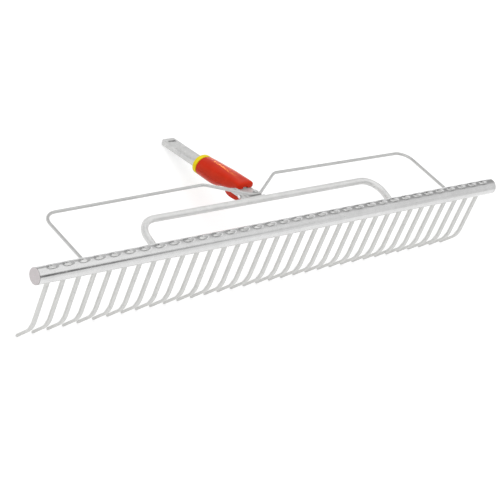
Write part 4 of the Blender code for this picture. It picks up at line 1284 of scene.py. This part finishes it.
class RAKE_OT_lever(RakeOperator, bpy.types.Operator):
    """Make the release lever with its grip grooves, and the pin that it turns on"""

    bl_idname = "rake.lever"
    bl_label = "Release lever"

    def execute(self, context):
        neck, lever = context.scene.rake_neck, context.scene.rake_lever
        width = neck.width - 2 * TONGUE_WALL - 2 * lever.side_gap
        half = width / 2 + 0.001
        outline = lever_outline(lever)
        pad = carved(prism("lever", outline, width), [], lever.rounding)
        cuts = [dowel("bore", (-half, 0, 0), (half, 0, 0), lever.pin / 2 + GAP)]
        first, apart = 13, 4  # points of the outline: to the first groove, and from groove to groove
        for low in outline[first : first + apart * lever.grooves : apart]:
            cuts.append(dowel("groove", (-half, *low), (half, *low), lever.groove / 2, 16))
        mesh = carved(pad, cuts)
        piece("lever_pad", mesh, LEVER, "lever", "red_moulded_abs", ["release_lever"])
        inner = neck.width / 2 + GAP
        head, shank, rise = lever.pin_head / 2, lever.pin / 2, lever.pin_head_height
        dome = ((0, 1), (0.6, 0.9), (1, 0.35), (1, 0))  # shares of the head's radius and height
        side = [(head * out, inner + rise * up) for out, up in dome]
        outline = [*side, (shank, inner), (shank, -inner), *((r, -z) for r, z in reversed(side))]
        where = LEVER @ Matrix.Rotation(math.pi / 2, 4, "Y")
        mesh = turned("pin", outline, 32)
        piece("pivot_pin", mesh, where, "head", "bright_zinc_rod", ["lever_pin"])
        return {"FINISHED"}


class RAKE_OT_inner(RakeOperator, bpy.types.Operator):
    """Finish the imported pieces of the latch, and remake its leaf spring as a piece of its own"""

    bl_idname = "rake.inner"
    bl_label = "Latch pieces"

    def execute(self, context):
        steel = "plain_spring_steel"
        for node, look in (("latch_blade", steel), ("blade_rivet", "bright_zinc_rod")):
            frame["nodes"][node].material_slots[0].material = finish(look)
        packed = frame["nodes"]["latch_spring"]
        shape = bmesh.new()
        shape.from_mesh(packed.data)
        mesh = mesh_of(shape, "latch_leaf")
        mesh.transform(TONGUE.inverted() @ packed.matrix_world)
        leaf = piece("latch_leaf", mesh, TONGUE, "head", steel, ["latch_spring"])
        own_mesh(leaf)
        return {"FINISHED"}


def seen(tree):
    """1 for a ray from the camera or one that gloss or glass sends on, and 0 for one that lights things."""
    rays = add(tree, "ShaderNodeLightPath", out=None)
    either = add(tree, MATH, (rays["Is Camera Ray"], rays["Is Glossy Ray"]), operation="MAXIMUM")
    return add(tree, MATH, (either, rays["Is Transmission Ray"]), operation="MAXIMUM")


class RAKE_OT_stage(RakeOperator, bpy.types.Operator):
    """Set the white floor, the soft lamps and the camera"""

    bl_idname = "rake.stage"
    bl_label = "Studio"

    def execute(self, context):
        scene, settings = context.scene, context.scene.rake_stage
        scene.view_settings.view_transform = "Standard"
        self.floor()
        self.room(scene, settings)
        middle = (CAD_BOX[0] + CAD_BOX[1]) / 2
        self.lamps(middle, settings)
        self.backdrop(middle)
        self.front_card(middle)
        self.white_card(middle)
        self.camera(scene, settings)
        return {"FINISHED"}

    def floor(self):
        """White paper, whose glow is seen but lights nothing. It keeps the shadow."""
        lit, looked_at, glow_looked_at = 0.8, 0.5, 0.63
        material = bpy.data.materials.new("white_paper")
        material.use_nodes = True
        tree = material.node_tree
        white = seen(tree)
        level = add(tree, MAP_RANGE, (white, 0.0, 1.0, lit, looked_at))
        tone = add(tree, "ShaderNodeCombineColor", (level, level, level))
        glow = add(tree, MATH, (white, glow_looked_at), operation="MULTIPLY")
        sockets = {"Base Color": tone, "Emission Color": (1, 1, 1, 1), "Emission Strength": glow}
        sockets |= {"Roughness": 1.0, "Specular IOR Level": 0.0}
        fill(tree, tree.nodes["Principled BSDF"], sockets)
        shape = bmesh.new()
        bmesh.ops.create_grid(shape, x_segments=1, y_segments=1, size=6)
        floor = helper("floor", mesh_of(shape, "floor"))
        floor.data.materials.append(material)
        floor.location.z = -0.0002  # just under the tips that stand on it

    def room(self, scene, settings):
        """White to the eye, and an even light at the level set."""
        world = bpy.data.worlds.new("white_room")
        world.use_nodes = True
        scene.world = world
        tree = world.node_tree
        level = add(tree, MAP_RANGE, (seen(tree), 0.0, 1.0, settings.room, 1.0))
        fill(tree, tree.nodes["Background"], {"Color": (1, 1, 1, 1), "Strength": level})

    def reflected(self, name, rows, shade):
        """A sheet that only shows in reflections. Shade gets its tree and its coordinates, and returns the
        strength."""
        shape = bmesh.new()
        quads(shape, rows)
        sheet = helper(name, mesh_of(shape, name))
        material, tree, place = surface(name)
        tree.nodes.remove(tree.nodes["Principled BSDF"])
        strength = shade(tree, add(tree, "ShaderNodeSeparateXYZ", (place,), None))
        glow = add(tree, "ShaderNodeEmission", {"Strength": strength})
        fill(tree, tree.nodes["Material Output"], {"Surface": glow})
        sheet.data.materials.append(material)
        for ray in ("camera", "diffuse", "transmission", "volume_scatter", "shadow"):
            setattr(sheet, f"visible_{ray}", False)

    def arc(self, middle, radius, turns, ends, lift=0.0):
        """Rows of points on an arc over the head, from one end in X to the other."""
        arc = [(middle.y + radius * math.cos(turn), lift + radius * math.sin(turn)) for turn in turns]
        return [[(x, y, z) for x in ends] for y, z in arc]

    def backdrop(self, middle):
        """A grey paper arch over the head, darkest behind it and paler towards the front."""

        def shade(tree, at):
            dim = add(tree, MAP_RANGE, (at["Y"], 1.0, -0.4, 0.4, 0.85))
            pale = add(tree, MAP_RANGE, (at["Y"], 2.25, 2.05, 0.45, 0.6))
            high = add(tree, MAP_RANGE, (at["Y"], 1.8, -0.3, 0.0, 0.4))
            right = add(tree, MAP_RANGE, (at["X"], 1.6, 2.3))
            pale = add(tree, MATH, (pale, high), operation="ADD")
            return add(tree, "ShaderNodeMix", {0: right, 2: pale, 3: dim})

        turns = [math.pi * step / 36 for step in range(37)]
        self.reflected("grey_arch", self.arc(middle, 2.2, turns, (-4.5, 4.5), 0.001), shade)

    def white_card(self, middle):
        """A white card over the right, which draws the white patches at the tube's left end."""
        turns = [math.radians(35 + 8 * step) for step in range(12)]
        self.reflected("white_card", self.arc(middle, 2.1, turns, (0.7, 1.3)), lambda tree, at: 1.15)

    def front_card(self, middle):
        """A dark card in front, which draws the dark line along the tube. Its core is darkest, widens to the
        left, and pales to the right."""
        distance, core = 1.25, 1.17

        def shade(tree, at):
            side = add(tree, MAP_RANGE, (at["X"], 0.75, 1.3, 0.1, 0.95))
            wide = add(tree, MAP_RANGE, (at["X"], 0.85, 0.6, 0.0, 0.2))
            off = add(tree, MATH, (at["Z"], core), operation="SUBTRACT")
            off = add(tree, MATH, (off,), operation="ABSOLUTE")
            off = add(tree, MATH, (off, wide), operation="SUBTRACT")
            rise = add(tree, MAP_RANGE, (off, 0.2, 0.55, 0.1, 0.95))
            return add(tree, MATH, (side, rise), operation="MAXIMUM")

        rows = [[(x, middle.y - distance, z) for x in (-0.6, 1.3)] for z in (0.6, 1.72)]
        self.reflected("dark_card", rows, shade)

    def lamp(self, name, kind, place, aim, power):
        """A lamp of that kind, turned to its aim."""
        light = bpy.data.lights.new(name, kind)
        light.energy = power
        obj = helper(name, light)
        obj.location = place
        obj.rotation_euler = (aim - place).to_track_quat("-Z", "Y").to_euler()
        return obj

    def lamps(self, middle, settings):
        """A softbox over the head, which gives no highlight of its own, another in front, and a lamp with a
        snoot low behind, which draws the streak along the socket and lights nothing else."""
        overhead = ("overhead", Vector((-0.2, 0.3, 1.6)), 2.1, settings.key)
        front = ("front", Vector((-1.5, -1.6, 1.0)), 1.2, settings.fill)
        for name, offset, size, power in (overhead, front):
            box = self.lamp(name, "AREA", middle + offset, middle, power)
            box.data.shape = "SQUARE"
            box.data.size = size
            box.visible_glossy = name != "overhead"
        crown, offset = TONGUE @ Vector((-0.001, 0.065, 0.012)), Vector((1.012, 1.3, 0.036))
        spot = self.lamp("behind", "SPOT", crown + offset, crown, settings.rim)
        spot.data.color = (1.0, 0.5, 0.12)
        spot.data.shadow_soft_size = 0.06
        spot.data.spot_size = math.radians(2.8)
        spot.data.spot_blend = 1
        spot.visible_diffuse = False
        spot.light_linking.receiver_collection = bpy.data.collections.new(STREAKED)

    def camera(self, scene, settings):
        """The scene's camera, at the photograph's viewing angle."""
        camera = bpy.data.cameras.new("camera")
        camera.sensor_width = 36
        camera.lens = settings.lens
        camera.clip_start, camera.clip_end = 0.05, 50
        camera.shift_x, camera.shift_y = CAMERA_SHIFT
        obj = helper("camera", camera)
        obj.location = CAMERA_PLACE
        obj.rotation_euler = [math.radians(turn) for turn in CAMERA_TURN]
        scene.camera = obj


OPERATORS = (
    RAKE_OT_stage,
    RAKE_OT_tube,
    RAKE_OT_caps,
    RAKE_OT_tines,
    RAKE_OT_loop,
    RAKE_OT_bail,
    RAKE_OT_tongue,
    RAKE_OT_plate,
    RAKE_OT_socket,
    RAKE_OT_collar,
    RAKE_OT_lever,
    RAKE_OT_inner,
)


class RAKE_PT_sidebar(bpy.types.Panel):
    """Lists the pieces in the 3D view's sidebar"""

    bl_idname = "RAKE_PT_sidebar"
    bl_label = "Rake head"
    bl_space_type = "VIEW_3D"
    bl_region_type = "UI"
    bl_category = "Rake"

    def draw(self, context):
        for operator in OPERATORS:
            self.layout.operator(operator.bl_idname)
        for name in SETTINGS:
            group = getattr(context.scene, name)
            box = self.layout.box()
            box.label(text=type(group).__name__)
            for field in type(group).__annotations__:
                box.prop(group, field)


SETTINGS = {
    "rake_tube": TubeSettings,
    "rake_tines": TineSettings,
    "rake_wires": WireSettings,
    "rake_neck": NeckSettings,
    "rake_socket": SocketSettings,
    "rake_lever": LeverSettings,
    "rake_finish": FinishSettings,
    "rake_stage": StageSettings,
}


def register():
    """Registers the classes and puts their settings on the scene."""
    for kind in (*SETTINGS.values(), *OPERATORS, RAKE_PT_sidebar):
        bpy.utils.register_class(kind)
    for name, kind in SETTINGS.items():
        setattr(bpy.types.Scene, name, PointerProperty(type=kind))


def unregister():
    """Takes the settings and the classes away again."""
    for name in SETTINGS:
        delattr(bpy.types.Scene, name)
    for kind in reversed((*SETTINGS.values(), *OPERATORS, RAKE_PT_sidebar)):
        bpy.utils.unregister_class(kind)


def main():
    """Makes the rake head and its stage."""
    register()
    for operator in OPERATORS:
        group, name = operator.bl_idname.split(".")
        getattr(getattr(bpy.ops, group), name)()


if __name__ == "__main__":
    main()
